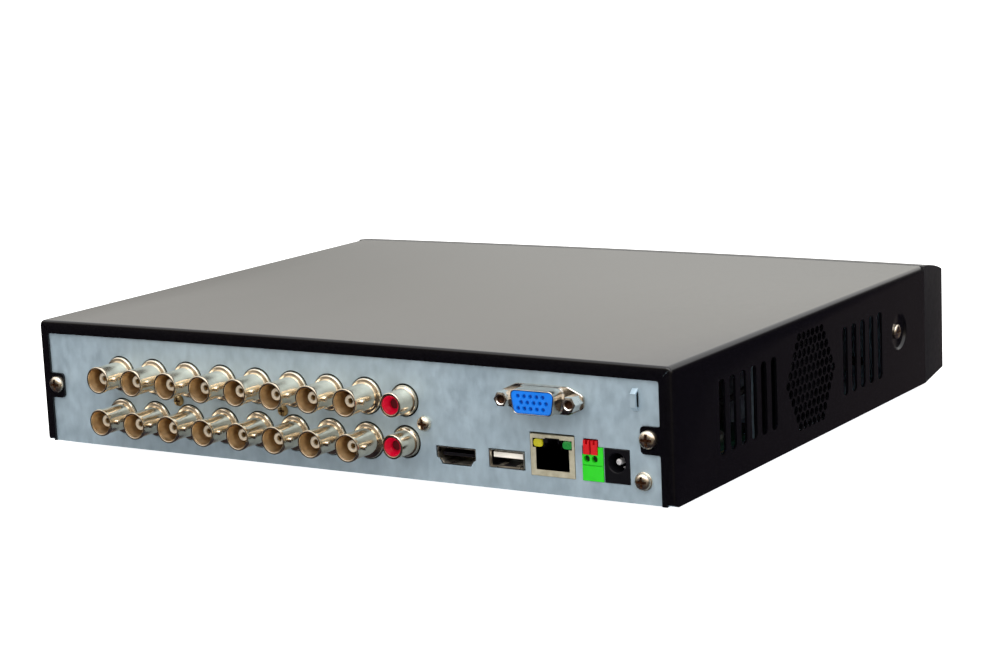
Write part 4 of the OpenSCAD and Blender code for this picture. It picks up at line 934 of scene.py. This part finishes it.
# Profiles here are (inset of the outline, distance out from the panel) in millimetres, except for
# the turned ones.
VGA_SIZE = (16.6 * MM, 14.3 * MM, 8.1 * MM, 2.2 * MM)   # top, bottom and height of the D, corner radius
VGA_PIN_PITCH = (2.29 * MM, 1.98 * MM)                  # along a row, and between rows
JACKSCREW_APART = 25 * MM


def vga_shell():
    """D-shaped shell with a rolled rim, on a flange with two tapering wings."""
    bm = bmesh.new()
    profile = [
        (0.4, -2.8), (0, -2.8), (-0.5, 0.6), (-0.5, 1.0), (-0.42, 1.3), (-0.2, 1.6), (-0.05, 1.9), (0, 2.3),
        (0, 6.8), (0.06, 7.02), (0.16, 7.1), (0.26, 7.1), (0.36, 7.0), (0.4, 6.8)]
    loft(bm, [(d_shape(*VGA_SIZE, i * MM), panel_y + t * MM) for i, t in profile], "Y", vga, True)
    wings = [
        (-15.2, -2.1), (-9.6, -4.6), (9.6, -4.6), (15.2, -2.1),
        (15.2, 2.1), (9.6, 4.6), (-9.6, 4.6), (-15.2, 2.1)]
    outline = corner_arcs([(x * MM, z * MM) for x, z in wings], 1.8 * MM)
    inner = [(x * 0.98, z * 0.96) for x, z in outline]
    plate = [(outline, 0), (outline, 0.75), (inner, 1.0)]
    loft(bm, [(o, panel_y + t * MM) for o, t in plate], "Y", vga)
    finish_mesh("vga_metal", bm, "vga_metal", ["vga_shell"])


def vga_insert():
    """Blue insert with three rows of five pin holes, each with a darker blue plug of painted shade inside.
    """
    bm = bmesh.new()
    profile = [(0.43, -2.8), (0.43, 6.75), (0.5, 6.95), (0.65, 7.04)]
    loft(bm, [(d_shape(*VGA_SIZE, i * MM), panel_y + t * MM) for i, t in profile], "Y", vga)
    low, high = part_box("vga_insert")
    box_into(bm, low, (high.x, panel_y - 2.9 * MM, high.z))
    insert = finish_mesh("vga_socket", bm, "blue", ["vga_insert"])
    along, between = VGA_PIN_PITCH
    bm, pin_hole_shades = bmesh.new(), bmesh.new()
    for row in (-1, 0, 1):
        shift = -0.25 if row == 0 else 0.25
        for i in range(-2, 3):
            centre = vga + Vector(((i + shift) * along, 0, row * between))
            loft(bm, turned([(0.55, 5.6), (0.55, 6.6), (0.65, 6.8), (0.9, 7.4)], panel_y, 20), "Y", centre)
            # darker plug a little inside each hole: painted shade
            loft(pin_hole_shades, turned([(0.54, 5.5), (0.54, 6.35)], panel_y, 20), "Y", centre)
    finish_mesh("vga_pin_hole_shade_set", pin_hole_shades, "pin_hole")
    cut_away(insert, bm)
    shade(insert.data)


def vga_jackscrews():
    """Hexagonal jackscrews, each with a dark plug of painted shade in its threaded hole."""
    ring = [
        (hexagon(4.67 * MM), 1.0), (hexagon(4.67 * MM), 5.3), (hexagon(4.4 * MM), 5.7),
        (circle(1.75 * MM, 48), 5.8), (circle(1.42 * MM, 48), 5.5), (circle(1.35 * MM, 48), 1.4)]
    bm, thread_shades = bmesh.new(), bmesh.new()
    for side in (-1, 1):
        centre = mounts["vga_screws"] + Vector((side * JACKSCREW_APART / 2, 0, 0))
        # dark plug inside each threaded hole: painted shade
        loft(thread_shades, turned([(1.3, 1.5), (1.3, 4.7)], panel_y, 32), "Y", centre)
        loft(bm, [(o, panel_y + t * MM) for o, t in ring], "Y", centre)
    finish_mesh("vga_thread_shade_set", thread_shades, "recess")
    finish_mesh("vga_standoff_set", bm, "jack_nickel", ["vga_jackscrews"], sharp=25)


def build_vga():
    """VGA jack: shell, insert and jackscrews."""
    vga_shell()
    vga_insert()
    vga_jackscrews()


def hdmi_outline(inset):
    """HDMI socket: a rectangle with its lower corners stepped in."""
    w, h = 7.45 * MM - inset, 2.8 * MM - inset
    lower = [(-w, -0.8 * MM), (-w + 1.1 * MM, -1.4 * MM), (-w + 2.1 * MM, -h)]
    corners = [(-w, h)] + lower + [(-x, z) for x, z in reversed(lower)] + [(w, h)]
    return corner_arcs(corners, 0.5 * MM, 4)


def shell_tube(bm, outline_at, centre, back, front, wall):
    """Thin folded-sheet socket, open at the front, with a rolled rim."""
    rim = [
        (0, back), (0, front - 0.12), (0.06, front), (wall - 0.06, front), (wall, front - 0.12),
        (wall, back + 0.4)]
    loft(bm, [(outline_at(i * MM), panel_y + t * MM) for i, t in rim], "Y", centre)


def build_hdmi():
    """HDMI jack: shell and tongue."""
    bm = bmesh.new()
    shell_tube(bm, hdmi_outline, hdmi, -12.3, -0.4, 0.35)
    finish_mesh("hdmi_metal", bm, "tin", ["hdmi_shell"])
    from_cad("hdmi_tongue", "black", 0.1 * MM)


def usb_outline(inset):
    """USB socket, made smaller all round by the inset."""
    return rectangle(13.2 * MM, 5.8 * MM, 0.7 * MM, inset)


def build_usb():
    """USB jack: shell with four spring fingers, a black liner of painted shade inside it, white tongue."""
    bm = bmesh.new()
    shell_tube(bm, usb_outline, usb, -14.8, 0.2, 0.35)
    finger = rectangle(1.8 * MM, 0.5 * MM, 0.2 * MM)
    for x in (-3.2, 3.2):
        for z in (2.55, -2.55):
            centre = usb + Vector((x * MM, 0, z * MM))
            loft(bm, [(finger, panel_y + t * MM) for t in (-5, -1.6)], "Y", centre)
    finish_mesh("usb_metal", bm, "tin", ["usb_shell"])
    # black sheet just inside the shell: painted shade
    liner = [(0.4, -14), (0.4, -1.2), (0.5, -1.2), (0.5, -14)]
    bm = bmesh.new()
    loft(bm, [(usb_outline(i * MM), panel_y + t * MM) for i, t in liner], "Y", usb, True)
    finish_mesh("usb_shade_liner", bm, "black")
    from_cad("usb_tongue", "white", 0.12 * MM)


def lan_lamp(name, material, reach, nodes):
    """Domed lamp in an upper corner of the network jack, at its reach along X from the middle."""
    low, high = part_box("lan_lamps")
    centre = Vector((lan.x + reach * MM, 0, (low.z + high.z) / 2))
    profile = [(0, low.y), (0, high.y - 0.1 * MM), (0.12, high.y + 0.2 * MM), (0.5, high.y + 0.4 * MM)]
    bm = bmesh.new()
    loft(bm, [(rectangle(3.5 * MM, high.z - low.z, 1.3 * MM, i * MM), t) for i, t in profile], "Y", centre)
    finish_mesh(name, bm, material, nodes)


def build_lan():
    """Network jack: shield, body, contacts and two lamps."""
    from_cad("lan_shield", "shield", 0.1 * MM)
    from_cad("lan_body", "black", 0.1 * MM)
    from_cad("lan_contacts", "gold", 0.05 * MM)
    lan_lamp("lan_lamp_left", "yellow_lamp", 5.2, ["lan_lamps"])
    lan_lamp("lan_lamp_right", "green_lamp", -5.6, [])


WIRE_HOLES_APART = 2.8 * MM


def build_terminal():
    """Push-button terminal block: body, two wire holes filled with dark plugs of painted shade, two buttons.
    """
    from_cad("terminal_body", "green", 0.15 * MM)
    bm = bmesh.new()
    # dark plug in each wire hole: painted shade
    for side in (1, -1):
        centre = mounts["control_wires"] + Vector((side * WIRE_HOLES_APART / 2, 0, 0))
        loft(bm, turned([(1.05, -8), (1.05, -0.9)], panel_y, 32), "Y", centre)
    finish_mesh("wire_hole_shade_set", bm, "wire_hole")
    for i in (1, 2):
        from_cad(f"terminal_button_{i}", "lever", 0.15 * MM, f"terminal_button_{i}")


def build_power():
    """Power jack: body, round-nosed pin, side spring."""
    from_cad("dc_jack_body", "black", 0.2 * MM)
    pin = [(0.85, -12.7), (0.85, -9.7), (1.05, -9.7), (1.05, -1.5), (0.95, -1.15), (0.6, -1.0)]
    bm = bmesh.new()
    loft(bm, turned(pin, panel_y, 32), "Y", power)
    finish_mesh("dc_pin", bm, "pin", ["dc_jack_pin"])
    centre = power + Vector((-1.6 * MM, 0, -1.9 * MM))
    strip = rectangle(1.6 * MM, 0.35 * MM, 0.15 * MM)
    bm = bmesh.new()
    loft(bm, [(strip, panel_y + t * MM) for t in (-9.5, -2.5)], "Y", centre)
    finish_mesh("dc_spring", bm, "pin")


# ---------------------------------------------------------------- carried-over nodes

PLAIN_NODES = {             # nodes that keep their own mesh, and their materials
    "board_standoffs": "brass", "board_screws": "zinc", "fan_screws": "anodised", "bnc_block": "black",
    "rca_block": "black", "vga_riser": "board", "main_board": "board", "board_parts": "black",
    "heat_sink": "anodised", "coin_cell": "zinc", "drive_casting": "cast", "drive_lid": "lid",
    "drive_spindle": "platter", "drive_arm": "cast", "drive_magnets": "magnet", "drive_board": "board",
    "inner_leads": "lead",
}


def dress_plain_nodes():
    """Gives the nodes that stay as they are their detailed materials."""
    for node, material in PLAIN_NODES.items():
        for place in frame["nodes"][node].material_slots:
            place.material = MATERIALS[material]


add_camera()
add_floor()
add_lights()
build_cover()
cut_away(from_cad("base_chassis", "steel", 0.1 * MM), corner_cutters())
crown(from_cad("front_bezel", "bezel", 0.5 * MM))
from_cad("indicator_lens", "clear", 0.2 * MM)
from_cad("remote_window", "window", 0.2 * MM)
from_cad("drive_screws", "zinc", 0.1 * MM)
from_cad("fan_frame", "black", 0.3 * MM)
from_cad("fan_rotor", "black", 0.2 * MM, "fan_rotor")
build_feet()
build_screws()
build_bnc()
build_rca()
build_vga()
build_hdmi()
build_usb()
build_lan()
build_terminal()
build_power()
dress_plain_nodes()
